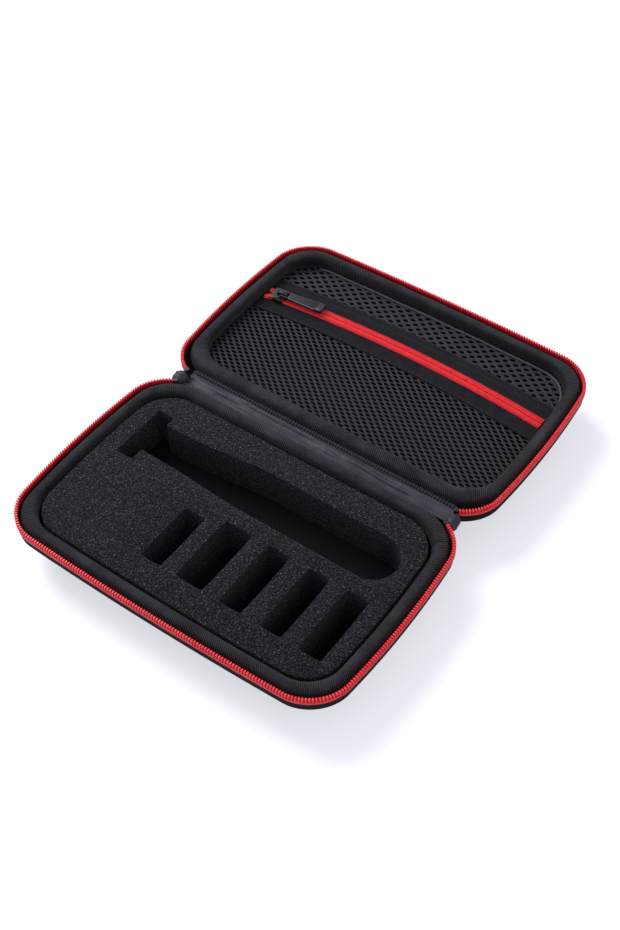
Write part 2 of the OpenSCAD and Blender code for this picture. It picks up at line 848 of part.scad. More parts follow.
base_shell();
base_lining();
base_binding();
base_zipper_tape();
base_zipper_teeth();
base_zipper_stops();
foam_insert();
lid_shell();
lid_lining();
lid_binding();
lid_zipper_tape();
lid_zipper_teeth();
lid_zipper_stops();
pocket_net_lower();
pocket_net_upper();
pocket_band_lower();
pocket_band_upper();
pocket_teeth_lower();
pocket_teeth_upper();
pocket_end_stops();
pocket_slider();
pocket_pull();
hinge_outer_band();
hinge_inner_band();
hinge_fold_left();
hinge_fold_right();
zipper_tail();
main_slider();
main_pull();
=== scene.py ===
# %% [markdown]
# A zip case for an electric shaver, lying fully open on a pale floor.
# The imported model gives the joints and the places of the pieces. This script dresses it:
# nearly every piece is made again with its real form and finish, where the model has it.

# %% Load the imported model
import math

import bmesh
import bpy
import numpy as np
from mathutils import Matrix, Vector


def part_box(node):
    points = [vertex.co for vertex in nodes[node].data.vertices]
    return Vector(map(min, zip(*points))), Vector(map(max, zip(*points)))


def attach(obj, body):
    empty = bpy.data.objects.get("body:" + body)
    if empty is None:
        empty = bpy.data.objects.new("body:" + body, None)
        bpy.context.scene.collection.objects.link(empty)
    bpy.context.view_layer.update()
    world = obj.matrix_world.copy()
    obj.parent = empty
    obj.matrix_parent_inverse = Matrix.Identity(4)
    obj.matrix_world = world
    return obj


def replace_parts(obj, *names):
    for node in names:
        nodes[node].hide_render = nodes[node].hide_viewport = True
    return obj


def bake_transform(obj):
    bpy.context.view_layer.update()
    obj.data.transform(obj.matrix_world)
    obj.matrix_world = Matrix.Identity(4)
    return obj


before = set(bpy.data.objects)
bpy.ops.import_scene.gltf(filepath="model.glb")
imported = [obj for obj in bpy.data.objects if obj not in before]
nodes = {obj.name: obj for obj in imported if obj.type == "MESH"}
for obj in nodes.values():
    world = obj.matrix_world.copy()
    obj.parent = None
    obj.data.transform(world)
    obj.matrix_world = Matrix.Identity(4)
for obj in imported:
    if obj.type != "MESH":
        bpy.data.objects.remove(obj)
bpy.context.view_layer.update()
print("pieces in the model:", len(nodes))

# %% [markdown]
# The sizes here repeat sizes of the model, in millimetres, all but the pitch of the
# rim's coil, which was set against the photograph. Each half is drawn about its
# own middle, with Y pointing away from the hinge, and place() sets it down: the lid to
# the back, the base mirrored to the front. A reach is how far a row leans towards the
# other half along the hinge.

# %% Sizes of the case, in millimetres
HALF_X, HALF_Y, RIM_R = 98.3, 64.05, 21.0     # half the rim's length and width, its corner
BOW_LONG, BOW_SHORT = 2.3, 4.3                # how far its sides bow out
MIDDLE_Y = HALF_Y + 2.0                       # from the hinge line to the middle of a half
FLOOR_TOP, WALL_TOP = 3.2, 20.02              # of the tray: lining on the floor, at the rim
LIP_IN, LIP_W, LIP_FOOT = 3.2, 7.0, 20.7      # of the lips: depth, width, underside
REACH = {"base": (2.6, 1.8), "lid": (-4.4, -6.8)}     # outer and inner side of each lip
FOAM_IN, FOAM_TOP = 11.4, 25.7                # of the foam: depth of its side, its top
ARC_TOP, ARC_R = 23.4, 806.559                # crown and radius of the pocket zip's arc
TOOTH_FROM, TOOTH_PITCH = 88.0, 1.6           # coil: where it starts along the rim, pitch


def place(half, points):
    """Points about the middle of a half, moved to where that half lies."""
    out = np.array(points, float)
    out[..., 1] = MIDDLE_Y + out[..., 1]
    if half == "base":
        out[..., 1] *= -1
    return out


for node in ("base_shell", "lid_shell", "foam_insert"):
    low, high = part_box(node)
    print(node, [round(v * 1000, 1) for v in (*low, *high)])

# %% [markdown]
# The rim is a rounded rectangle whose sides bow out a little. One function gives the
# outline at any depth in from the rim, always with the same number of points, so that
# outlines at different depths and heights join into a skin with no twisting.

# %% Outline of one half
CORNER_N, LONG_N, SHORT_N = 34, 40, 44


def corner_radius(depth):
    """Corners get tighter over the first 4 mm in from the rim, and then only slowly."""
    return RIM_R - min(depth, 4) - 0.05 * max(depth - 4, 0)


def outline(depth, reach=0.0):
    """Outline at a depth in from the rim, anticlockwise from the middle of the hinge side."""
    r_far = corner_radius(depth)
    r_hinge = r_far + 1.5 * max(reach, 0)
    far, near, side = HALF_Y - depth, HALF_Y + reach - depth, HALF_X - depth

    def corner(cx, cy, r, start):
        turn = np.radians(start + 90 * np.arange(CORNER_N) / (CORNER_N - 1))
        return np.column_stack([cx + r * np.cos(turn), cy + r * np.sin(turn)])

    def line(x0, y0, x1, y1, count, first=1):
        f = np.arange(first, count)[:, None] / count
        return np.array([[x0, y0]]) * (1 - f) + np.array([[x1, y1]]) * f

    p = np.vstack([
        line(0, -near, side - r_hinge, -near, LONG_N, 0),
        corner(side - r_hinge, -near + r_hinge, r_hinge, 270),
        line(side, -near + r_hinge, side, far - r_far, SHORT_N),
        corner(side - r_far, far - r_far, r_far, 0),
        line(side - r_far, far, -side + r_far, far, 2 * LONG_N),
        corner(-side + r_far, far - r_far, r_far, 90),
        line(-side, far - r_far, -side, -near + r_hinge, SHORT_N),
        corner(-side + r_hinge, -near + r_hinge, r_hinge, 180),
        line(-side + r_hinge, -near, 0, -near, LONG_N),
    ])
    x, y = p[:, 0], p[:, 1]
    return np.column_stack([
        x + BOW_SHORT * (1 - (y / HALF_Y) ** 2) * x / HALF_X,
        y + BOW_LONG * (1 - (x / HALF_X) ** 2) * np.maximum(y, 0) / HALF_Y,
    ])


RIM = outline(0)
RIM_LOOP = np.vstack([RIM, RIM[:1]])
RIM_S = np.concatenate([[0], np.cumsum(np.linalg.norm(np.diff(RIM_LOOP, axis=0), axis=1))])
RIM_TOTAL = RIM_S[-1]
print("rim length:", round(RIM_TOTAL, 1), "mm, points:", len(RIM))

# %% [markdown]
# Small helpers carry the rest. skin() joins rings of points into faces and gives each
# face a UV map in metres, so that ribs and weave can follow the cloth round its bends.
# piece() turns points and faces into an object at the origin, with its normals pointing
# outwards and only its real edges sharp. strip_piece() and capped_piece() do both.

# %% Skins and pieces


def skin(rows, wrap=True, loop=False, caps=()):
    """Points, faces and UVs of a grid of rings. wrap closes each ring and loop joins the
    last ring to the first. caps lists rings that are closed by a fan."""
    count, n = rows.shape[:2]
    step_u = np.linalg.norm(np.roll(rows, -1, 1) - rows, axis=2).max(0)
    step_v = np.linalg.norm(np.roll(rows, -1, 0) - rows, axis=2).mean(1)
    u = np.concatenate([[0], np.cumsum(step_u)]) / 1000
    v = np.concatenate([[0], np.cumsum(step_v)]) / 1000
    points, faces, uvs = [tuple(p) for p in rows.reshape(-1, 3)], [], []
    for i in range(count if loop else count - 1):
        for j in range(n if wrap else n - 1):
            a, b = (i + 1) % count, (j + 1) % n
            faces.append((i * n + j, i * n + b, a * n + b, a * n + j))
            uvs.append(((u[j], v[i]), (u[j + 1], v[i]), (u[j + 1], v[i + 1]), (u[j], v[i + 1])))
    for i in caps:
        hub = len(points)
        points.append(tuple(rows[i].mean(0)))
        for j in range(n):
            trio = (hub, i * n + j, i * n + (j + 1) % n)
            faces.append(trio)
            uvs.append([(points[k][0] / 1000, points[k][1] / 1000) for k in trio])
    if loop and not wrap:
        for j in (0, n - 1):
            ring = [i * n + j for i in range(count)]
            faces.append(ring)
            uvs.append([(u[j], v[i]) for i in range(count)])
    return points, faces, uvs


def outwards(mesh, weld=0.0):
    """Turns the faces of a closed mesh to point outwards, its points welded first."""
    bm = bmesh.new()
    bm.from_mesh(mesh)
    if weld:
        bmesh.ops.remove_doubles(bm, verts=bm.verts, dist=weld)
    bmesh.ops.recalc_face_normals(bm, faces=bm.faces)
    bm.to_mesh(mesh)
    bm.free()


def linked(name, data):
    """An object in the scene."""
    obj = bpy.data.objects.new(name, data)
    bpy.context.scene.collection.objects.link(obj)
    return obj


def mesh_of(name, points, edges, faces):
    """A mesh from points in millimetres."""
    mesh = bpy.data.meshes.new(name)
    mesh.from_pydata([tuple(c / 1000 for c in p) for p in points], edges, faces)
    return mesh


def finish_mesh(name, mesh, material, sharp=40):
    """A shaded object from a mesh that is already in place."""
    mesh.materials.clear()
    mesh.materials.append(material)
    mesh.polygons.foreach_set("use_smooth", [True] * len(mesh.polygons))
    mesh.set_sharp_from_angle(angle=math.radians(sharp))
    return linked(name, mesh)


def piece(name, skinned, material, sharp=40, mapped=True):
    """An object at the origin from what skin() gives, with its UV map or without."""
    points, faces, uvs = skinned
    mesh = mesh_of(name, points, [], faces)
    if mapped:
        layer = mesh.uv_layers.new(name="UVMap")
        layer.data.foreach_set("uv", [c for face in uvs for uv in face for c in uv])
    outwards(mesh)
    return finish_mesh(name, mesh, material, sharp)


def strip_piece(name, edges, *given, **more):
    """A closed section drawn out along a path: edges are its long edges, in order."""
    return piece(name, skin(edges, wrap=False, loop=True), *given, **more)


def capped_piece(name, rings, *given, **more):
    """A body from its first ring to its last, both closed."""
    return piece(name, skin(rings, caps=(0, len(rings) - 1)), *given, **more)


def flat_line(x, y, z):
    """Points from a column each of x and y, and one height or one for each."""
    return np.column_stack([x, y, np.broadcast_to(z, np.shape(y))])


def join(name, parts):
    """One object from several, each with its own material kept."""
    with bpy.context.temp_override(active_object=parts[0], object=parts[0],
                                   selected_objects=parts, selected_editable_objects=parts):
        bpy.ops.object.join()
    parts[0].name = parts[0].data.name = name
    return parts[0]


def settle(obj, body, slot, *replaced):
    """The piece moves with a body and stands for nodes. slot is not used."""
    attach(obj, body)
    if replaced:
        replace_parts(obj, *replaced)
    print(obj.name, len(obj.data.polygons), "faces on", body)
    return obj


# %% [markdown]
# Materials are built from nodes. A Term wraps one output socket, so that shader maths
# reads like ordinary maths: each operator adds a Math node. Every other node is made
# by add(), which takes its type, its settings and what goes into its sockets.

# %% Node trees as expressions


class Term:
    """An output socket that Python's operators work on."""

    def __init__(self, graph, socket):
        self.graph, self.socket = graph, socket

    def maths(self, operation, *values):
        return self.graph.add("ShaderNodeMath", {"operation": operation}, dict(enumerate(values)))

    def __add__(self, other):
        return self.maths("ADD", self, other)

    def __sub__(self, other):
        return self.maths("SUBTRACT", self, other)

    def __mul__(self, other):
        return self.maths("MULTIPLY", self, other)

    def __rsub__(self, other):
        return self.maths("SUBTRACT", other, self)

    __radd__, __rmul__ = __add__, __mul__

    def ripple(self, pitch):
        """A sine wave along the value, a crest every pitch."""
        wave = self * (2 * math.pi / pitch)
        return wave.maths("SINE", wave)

    def between(self, low, high):
        """0 at low, 1 at high, eased in between."""
        return self.graph.add("ShaderNodeMapRange", {"interpolation_type": "SMOOTHSTEP"},
                              {"Value": self, "From Min": low, "From Max": high})


class Graph:
    """A node tree, one way to add a node and one to fill a socket."""

    def __init__(self, tree):
        self.tree = tree

    def add(self, kind, settings=None, inputs=None, out=0):
        node = self.tree.nodes.new(kind)
        for key, value in (settings or {}).items():
            setattr(node, key, value)
        for key, value in (inputs or {}).items():
            self.feed(node.inputs[key], value)
        return Term(self, node.outputs[out])

    def feed(self, socket, value):
        if isinstance(value, Term):
            self.tree.links.new(value.socket, socket)
        else:
            socket.default_value = value


def srgb(r, g, b):
    """A colour given as it shows on screen, from 0 to 255, as the shader wants it."""
    return (*[(c / 255 / 12.92 if c <= 10 else ((c / 255 + 0.055) / 1.055) ** 2.4)
              for c in (r, g, b)], 1.0)


class Finish(Graph):
    """A material: its Principled shader, coordinates and the patterns that it is made of."""

    def __init__(self, name, **constants):
        self.material = bpy.data.materials.new(name)
        self.material.use_nodes = True
        super().__init__(self.material.node_tree)
        self.shader = self.tree.nodes["Principled BSDF"]
        for key, value in constants.items():
            self.shader.inputs[key.replace("_", " ")].default_value = value

    def coords(self, which="Object"):
        return self.add("ShaderNodeTexCoord", None, None, which)

    def parts(self, vector):
        """The three parts of a vector."""
        return [self.add("ShaderNodeSeparateXYZ", None, {0: vector}, k) for k in "XYZ"]

    def tilt(self):
        """The height of the surface's normal: 1 where it faces up, 0 on a wall."""
        normal = self.add("ShaderNodeNewGeometry", None, None, "Normal")
        return self.add("ShaderNodeSeparateXYZ", None, {0: normal}, "Z")

    def noise(self, size_mm, detail=2.0):
        """Cloudy values from 0 to 1 with lumps of about size_mm."""
        return self.add("ShaderNodeTexNoise", None,
                        {"Vector": self.coords(), "Scale": 1000 / size_mm, "Detail": detail})

    def cells(self, size_mm):
        """Distance from the nearest of many scattered points, in cells of size_mm."""
        return self.add("ShaderNodeTexVoronoi", None,
                        {"Vector": self.coords(), "Scale": 1000 / size_mm}, "Distance")

    def mix(self, factor, a, b):
        """From colour a at 0 to colour b at 1."""
        return self.add("ShaderNodeMix", {"data_type": "RGBA"}, {0: factor, 6: a, 7: b}, 2)

    def bump(self, height, depth_mm, strength=1.0):
        return self.add("ShaderNodeBump", None,
                        {"Height": height, "Distance": depth_mm / 1000, "Strength": strength})

    def wear(self, **sockets):
        for key, value in sockets.items():
            self.feed(self.shader.inputs[key.replace("_", " ")], value)
        return self.material


def speckled(name, size_mm, detail, span, dark, pale, rough, bump=None, **constants):
    """A finish between two colours that one noise speckles and roughens. span is the part
    of the noise that the colours take up, rough the roughness and what the noise adds to
    it, and bump the depth, the strength and, where it is not the same, another noise."""
    finish = Finish(name, **constants)
    speck = finish.noise(size_mm, detail)
    sockets = {"Base_Color": finish.mix(speck.between(*span) if span else speck,
                                        srgb(*dark), srgb(*pale)),
               "Roughness": rough[0] + speck * rough[1]}
    if bump:
        depth, strength, *other = bump
        sockets["Normal"] = finish.bump(finish.noise(*other) if other else speck, depth, strength)
    return finish.wear(**sockets)


print("colour check, mid grey:", [round(c, 3) for c in srgb(119, 119, 119)[:3]])

# %% [markdown]
# The outside is a tight black weave pressed onto a moulded board. Two crossed waves on
# the piece's own UV map make over and under threads that run along and up the wall.

# %% Outer weave
shell_weave = Finish("shell_weave", Sheen_Weight=0.03, Specular_IOR_Level=0.15)
u, v, _ = shell_weave.parts(shell_weave.coords("UV"))
threads = u.ripple(0.0011) * v.ripple(0.0011)
grain = shell_weave.noise(0.5)
cloud = shell_weave.noise(24.0)
SHELL_WEAVE = shell_weave.wear(
    Base_Color=shell_weave.mix(threads * 0.3 + cloud * 0.7, srgb(6, 5, 8), srgb(17, 16, 20)),
    Roughness=0.62 + grain * 0.2,
    Normal=shell_weave.bump(threads * 0.6 + grain, 0.12, 0.6))
print(SHELL_WEAVE.name)

# %% [markdown]
# The lining is thin black knit glued inside. It shows at the bottom of the slots and
# through the net, as fine slanting ribs.

# %% Knit lining
lining = Finish("knit_lining", Sheen_Weight=0.03, Specular_IOR_Level=0.1)
x, y, z = lining.parts(lining.coords())
ribs = (x + y * 0.8 + z * 0.5).ripple(0.0013)
LINING = lining.wear(
    Base_Color=lining.mix(ribs * 0.35 + lining.noise(1.2) * 0.7,
                          srgb(3, 2, 6), srgb(13, 12, 18)),
    Roughness=0.8 + ribs * 0.08,
    Normal=lining.bump(ribs, 0.15, 0.7))
print(LINING.name)

# %% [markdown]
# The lips are bound in a ribbed knit tape. Its ribs run across the lip, so they are a
# wave along the UV map's first axis, broken a little by noise. A painted highlight makes
# the knit pale along the crown of the lip, and painted shade darkens it where it turns
# down the sides; the tilt of the surface sets both.

# %% Ribbed binding
binding = Finish("binding_knit", Sheen_Weight=0.12, Sheen_Roughness=0.4,
                 Specular_IOR_Level=0.15)
u, _, _ = binding.parts(binding.coords("UV"))
wander = binding.noise(3.0)
ribs = (u + wander * 0.0007).ripple(0.0011)
fuzz = binding.noise(0.45, 3.0)
patches = binding.noise(11.0, 3.0)
# Painted highlight along the crown and painted shade down the sides, from the tilt of the surface.
crown = binding.tilt().between(0.35, 0.98)
tone = (ribs * 0.2 + fuzz * 0.7 + patches * 0.9 - 0.35).between(0.05, 1.0)
BINDING = binding.wear(
    Base_Color=binding.mix(tone * (crown * crown * 0.85 + 0.15),
                           srgb(10, 8, 13), srgb(74, 71, 80)),
    Roughness=0.75 + fuzz * 0.2,
    Normal=binding.bump(ribs * 0.9 + fuzz * 1.2 + patches * 0.8, 0.3, 0.85))
print(BINDING.name)

# %% [markdown]
# The insert is cut from open-cell foam. Up close it is a field of tiny pits with a few
# glinting cell walls. Noise makes the pits and a Voronoi pattern picks out single cells,
# whose glints are painted highlights. The cut edges face up and sideways at once and
# carry a painted highlight, so the mask for it is taken from the tilt of the surface.

# %% Foam
foam = Finish("foam", Sheen_Weight=0.04, Sheen_Roughness=0.6, Specular_IOR_Level=0.08)
pits = foam.noise(0.75, 2.0)
cell = foam.cells(1.1)
# Painted glints: single bright cells that stand for light caught by the foam.
painted_glints = (0.2 - foam.cells(1.9)).between(0.0, 0.12)
tilt = foam.tilt()
# Painted highlight on the cut edges, from the tilt of the surface.
painted_rim_highlight = tilt.between(0.15, 0.5) * (1 - tilt.between(0.75, 0.97))
tone = (pits * 4.6 - cell * 0.5 - 1.75).between(0.0, 1.0)
body_colour = foam.mix(tone, srgb(15, 13, 18), srgb(62, 58, 66))
FOAM = foam.wear(
    Base_Color=foam.mix(painted_glints * 0.75, foam.mix(painted_rim_highlight * 0.3, body_colour, srgb(72, 68, 78)),
                        srgb(128, 124, 136)),
    Roughness=0.9 + pits * 0.1,
    Normal=foam.bump(pits * 1.4 - cell * 0.5, 0.7, 0.9))
print(FOAM.name)

# %% [markdown]
# The net and the solid bands beside the pocket zip are a soft purple-grey knit. The
# net's threads are the paler and smoother of the two, and the bands have a fine
# slanting twill.

# %% Net and band cloth
NET = speckled("net", 0.5, 3.0, (0.25, 0.75), (18, 16, 22), (56, 53, 63), (0.55, 0.25),
               (0.15, 0.7), Sheen_Weight=0.08, Specular_IOR_Level=0.2)
band = Finish("band_cloth", Sheen_Weight=0.05, Specular_IOR_Level=0.1)
x, y, _ = band.parts(band.coords())
twill = (x * 0.6 + y).ripple(0.0008)
mottle = band.noise(5.0, 3.0)
BAND = band.wear(
    Base_Color=band.mix((twill * 0.15 + mottle * 1.6 - 0.35).between(0.0, 1.0),
                        srgb(11, 9, 15), srgb(32, 29, 36)),
    Roughness=0.68 + mottle * 0.2,
    Normal=band.bump(twill * 0.5 + band.noise(0.5) * 0.8, 0.14, 0.7))
print(NET.name, BAND.name)

# %% [markdown]
# The hinge is lined with a slate satin that creases and shines. Its threads all run
# along the hinge, so the light on it stretches: a noise drawn out along X gives that.

# %% Satin
satin = Finish("satin", Sheen_Weight=0.06, Specular_IOR_Level=0.3)
stretched = satin.add("ShaderNodeMapping", None,
                      {"Vector": satin.coords(), "Scale": (120.0, 900.0, 900.0)})
streaks = satin.add("ShaderNodeTexNoise", None,
                    {"Vector": stretched, "Scale": 1.0, "Detail": 3.0})
blotch = satin.noise(11.0, 3.0)
SATIN = satin.wear(
    Base_Color=satin.mix((streaks * 0.6 + blotch * 0.8 - 0.2).between(0.1, 0.9),
                         srgb(20, 19, 28), srgb(62, 61, 76)),
    Roughness=0.45 + streaks * 0.2,
    Normal=satin.bump(streaks * 0.4 + blotch * 1.6, 0.8, 0.8))
print(SATIN.name)

# %% [markdown]
# The zips are bright red nylon coil. The nylon is smooth and catches the light. Under
# the rim's coil lies a core of a deeper red, painted shade for the gaps between the bars,
# and the rim's tape is a flat black weave.

# %% Red coil and zip tape
COIL = speckled("red_coil", 2.2, 2.0, (0.3, 0.75), (250, 34, 48), (255, 74, 78), (0.3, 0.15),
                (0.06, 0.5, 0.4), Specular_IOR_Level=0.4, Coat_Weight=0.1, Coat_Roughness=0.3)
# The core's deeper red is painted shade for the gaps between the rim's bars.
PAINTED_SHADE_CORE = speckled("red_core_painted_shade", 0.6, 2.0, None, (140, 6, 18), (186, 14, 28), (0.6, 0.2),
                (0.1, 0.6), Specular_IOR_Level=0.3)
tape = Finish("zipper_tape", Sheen_Weight=0.04, Specular_IOR_Level=0.12)
u, _, _ = tape.parts(tape.coords("UV"))
weft = u.ripple(0.0009)
TAPE = tape.wear(
    Base_Color=tape.mix(weft * 0.25 + tape.noise(1.0) * 0.7, srgb(8, 7, 11), srgb(24, 22, 28)),
    Roughness=0.7 + weft * 0.1,
    Normal=tape.bump(weft, 0.12, 0.6))
print(COIL.name, PAINTED_SHADE_CORE.name, TAPE.name)

# %% [markdown]
# The sliders are metal under black lacquer, whose fine scratches change its colour and
# its roughness a little. The pocket pull's top face is a matt slate, with a pale painted
# highlight along one edge. The seams are sewn in black, the pocket zip in a duller red than its
# coil.

# %% Lacquer, pull face and threads
BLACK = speckled("gloss_black", 0.9, 4.0, (0.3, 0.8), (6, 6, 8), (18, 18, 22), (0.3, 0.2),
                 (0.05, 0.4, 3.0), Specular_IOR_Level=0.3, Coat_Weight=0.1, Coat_Roughness=0.2)
SLATE = speckled("pull_slate", 0.7, 4.0, (0.2, 0.8), (26, 27, 33), (40, 42, 50), (0.5, 0.2),
                 (0.05, 0.5), Specular_IOR_Level=0.2)
# A pale grey for the pull's painted edge highlight.
PAINTED_EDGE_HIGHLIGHT = speckled("pull_edge_painted_highlight", 1.0, 3.0, None, (70, 70, 78), (120, 120, 128), (0.25, 0.2),
                  Specular_IOR_Level=0.6)
THREAD = speckled("thread_black", 0.4, 2.0, None, (6, 5, 8), (24, 22, 27), (0.6, 0.2),
                  (0.1, 0.6), Sheen_Weight=0.2, Specular_IOR_Level=0.3)
HEM = speckled("hem_grey", 0.8, 3.0, (0.2, 0.8), (48, 46, 53), (84, 81, 89), (0.6, 0.2),
               (0.15, 0.7), Sheen_Weight=0.4, Specular_IOR_Level=0.3)
MAROON = speckled("thread_maroon", 0.4, 2.0, None, (196, 28, 40), (228, 48, 58), (0.55, 0.2),
                  Specular_IOR_Level=0.3)
print(BLACK.name, SLATE.name, PAINTED_EDGE_HIGHLIGHT.name, THREAD.name, HEM.name, MAROON.name)

# %% [markdown]
# The shells are moulded trays: a floor, a soft bend, a wall that slopes out, and a rebate
# that the zip's tape is sewn into. A section is swept round the outline, as rows of
# depth, height and reach. The lining lies in the tray with a section of its own.

# %% Shells and linings
BEND_STEPS, BEND_IN, WALL_ANGLE = 9, 20.39, 55
SHELL_R, TRAY_R, LINING_R = 12.0, 9.4, 8.8    # bends: outside, between the two, inside
TRAY_Z, LINING_BACK = 2.6, 0.3                # the shell's floor, the lining's clearance


def bend(r, depth, z, reach=0.0):
    """Rows of a bend that starts flat on the floor and ends at the slope of the wall."""
    turn = np.radians(WALL_ANGLE * np.arange(BEND_STEPS + 1) / BEND_STEPS)
    return [(depth - r * math.sin(a), z + r * (1 - math.cos(a)), reach) for a in turn]


def sweep(half, section):
    """Rings of points for a section of (depth, height, reach) rows."""
    rings = []
    for depth, z, reach in section:
        p = outline(depth, reach)
        rings.append(flat_line(p[:, 0], p[:, 1], z))
    return place(half, rings)


SHELL_SECTION = bend(SHELL_R, BEND_IN, 0.0) + [
    (1.6, 17.9, 0), (0.8, 18.95, 0), (0.95, 19.2, 0), (1.8, 19.2, 0), (1.8, 20.2, 0),
    (2.0, 20.4, 0), (3.1, 20.4, 0), (3.3, 20.25, 0), (3.3, WALL_TOP, 0),
] + bend(TRAY_R, BEND_IN, TRAY_Z)[::-1]


def lining_section(reach):
    """The lining's section, leaning by reach along the hinge."""
    edge = [(3.6, WALL_TOP, reach), (3.45, 20.7, reach), (4.05, 20.7, reach), (4.2, 20.2, reach)]
    foot = BEND_IN + LINING_BACK
    return bend(TRAY_R, foot, TRAY_Z, reach) + edge + bend(LINING_R, foot, FLOOR_TOP, reach)[::-1]


for half, reach in (("base", 0.0), ("lid", -5.4)):
    shell = capped_piece(half + "_shell_cloth", sweep(half, SHELL_SECTION), SHELL_WEAVE, 50)
    settle(shell, half, "shell_fabric", half + "_shell")
    knit = capped_piece(half + "_lining_knit", sweep(half, lining_section(reach)), LINING, 60)
    settle(knit, half, "knit_lining", half + "_lining")

# %% [markdown]
# The lips are foam cord wrapped in ribbed knit. A plain sweep would look like pipe, so
# each ring of points is pushed in and out a little along its length: slow waves for
# the hand-laid cord, quick ones for puckers in the knit, and one tight pinch where the
# binding's ends meet. The section is steep at its sides and narrow along its crown, so
# that the crown reads as a ridge.

# %% Bound lips


def waves(s, parts):
    """A smooth wandering value along s, from (length, size, phase) waves."""
    return sum(a * np.sin(2 * math.pi * s / length + phase) for length, a, phase in parts)


LIP_WAIST, SHOULDER, CROWN = 21.4, 24.3, 3.6  # where it starts to give, its arch
LOOSE_RUN = 6.5                               # from its waist to the top of its crown


def bound_lip(half, splice):
    """A lip from rings of constant place in the section, pinched at splice on the rim."""
    out_reach, in_reach = REACH[half]
    turn = np.linspace(0, math.pi, 19)
    side = np.sign(np.cos(turn)) * np.abs(np.cos(turn)) ** 0.8
    crown = np.sin(turn) ** 1.35
    section = [(0.5 - 0.5 * c, SHOULDER + CROWN * h) for c, h in zip(side, crown)]
    section += [(1.0, 23.0), (0.985, LIP_WAIST), (0.93, LIP_FOOT),
                (0.07, LIP_FOOT), (0.015, LIP_WAIST), (0.0, 23.0)]
    along = RIM_S[:-1]
    slow = waves(along, ((57, 0.16, 0.4), (31, 0.14, 2.0), (83, 0.14, 4.1)))
    quick = waves(along, ((9.1, 0.12, 1.0), (5.7, 0.1, 3.0), (13.3, 0.1, 5.0)))
    pinch = np.exp(-((along - splice) / 1.1) ** 2)
    centre = outline(LIP_IN + LIP_W / 2, out_reach + (in_reach - out_reach) / 2)
    rings = []
    for f, z in section:
        p = outline(LIP_IN + LIP_W * f, out_reach + (in_reach - out_reach) * f)
        loose = max(0.0, (z - LIP_WAIST) / LOOSE_RUN)
        squeeze = 0.35 * loose * (slow + quick)
        shift = (0.09 * pinch - 0.035 * (slow + quick) * loose)[:, None] * (centre - p)
        height = z - np.abs(squeeze) * 0.7 - 0.7 * pinch * loose
        rings.append(np.column_stack([p + shift, height]))
    lip = piece(half + "_lip", skin(place(half, rings), loop=True), BINDING, 60)
    return settle(lip, half, "binding_knit", half + "_binding")


bound_lip("base", 100.0)
bound_lip("lid", 12.0)

# %% [markdown]
# Along the rim runs a sewn tape, and on it the coil. The path is measured, so that a
# place on the rim is a distance along it. rim_path() gives points at a depth in from
# the rim, from one distance to another.

# %% Paths along the rim


def rim_at(s):
    """Points of the rim at distances along it."""
    return np.column_stack([np.interp(s, RIM_S, RIM_LOOP[:, k]) for k in (0, 1)])


def rim_path(half, depth, z, start, end, step):
    """Points in from the rim, in the order that keeps the inside on the left."""
    s = np.linspace(start, end, max(2, int(round((end - start) / step)) + 1))
    ahead = rim_at(s + 0.4) - rim_at(s - 0.4)
    ahead /= np.linalg.norm(ahead, axis=1)[:, None]
    inward = np.column_stack([-ahead[:, 1], ahead[:, 0]])
    p = rim_at(s) + inward * depth
    points = place(half, flat_line(p[:, 0], p[:, 1], z))
    return points[::-1] if half == "base" else points


def rim_strip(half, section, beyond=0.0):
    """Long edges of a closed section of (depth, height) rows, all along the coil's run and
    a little beyond its ends."""
    start, end = TOOTH_FROM - beyond, RIM_TOTAL - TOOTH_FROM + beyond
    return np.array([rim_path(half, d, z, start, end, 1.5) for d, z in section])


STOP = 2.4
TAPE_SECTION = [(0.7, 19.4), (1.5, 19.4), (1.5, 23.9), (1.1, 24.1), (0.7, 23.9)]
for half in ("base", "lid"):
    ribbon = strip_piece(half + "_tape", rim_strip(half, TAPE_SECTION, STOP), TAPE)
    settle(ribbon, half, "zipper_tape", half + "_zipper_tape")

# %% [markdown]
# Teeth, ribs and stitches all repeat one small shape along a path. One Geometry Nodes
# tree does it: it takes a line of points, spaces them evenly, turns each copy to follow
# the line, and makes the copies real so that they export. Its inputs are named: the
# path, the shape, the number of copies and the finish. The net gets a tree of its own
# from the same function.

# %% March a shape along a path


def geometry_tree(name, inputs, build):
    """A Geometry Nodes tree. build makes its geometry from a graph and one Term for each
    input but the last, which is the finish that the geometry leaves with."""
    tree = bpy.data.node_groups.new(name, "GeometryNodeTree")
    graph = Graph(tree)
    for label, kind in inputs:
        tree.interface.new_socket(name=label, in_out="INPUT", socket_type="NodeSocket" + kind)
    tree.interface.new_socket(name="Geometry", in_out="OUTPUT",
                              socket_type="NodeSocketGeometry")
    given = tree.nodes.new("NodeGroupInput")
    *terms, finish = [Term(graph, given.outputs[k]) for k in range(len(inputs))]
    done = graph.add("GeometryNodeSetMaterial", None,
                     {"Geometry": build(graph, *terms), "Material": finish})
    graph.feed(tree.nodes.new("NodeGroupOutput").inputs[0], done)
    return tree


def copies_on(graph, points, shape, **more):
    """Real copies of an object on points."""
    part = graph.add("GeometryNodeObjectInfo", None, {"Object": shape}, "Geometry")
    copied = graph.add("GeometryNodeInstanceOnPoints", None,
                       {"Points": points, "Instance": part, **more})
    return graph.add("GeometryNodeRealizeInstances", None, {"Geometry": copied})


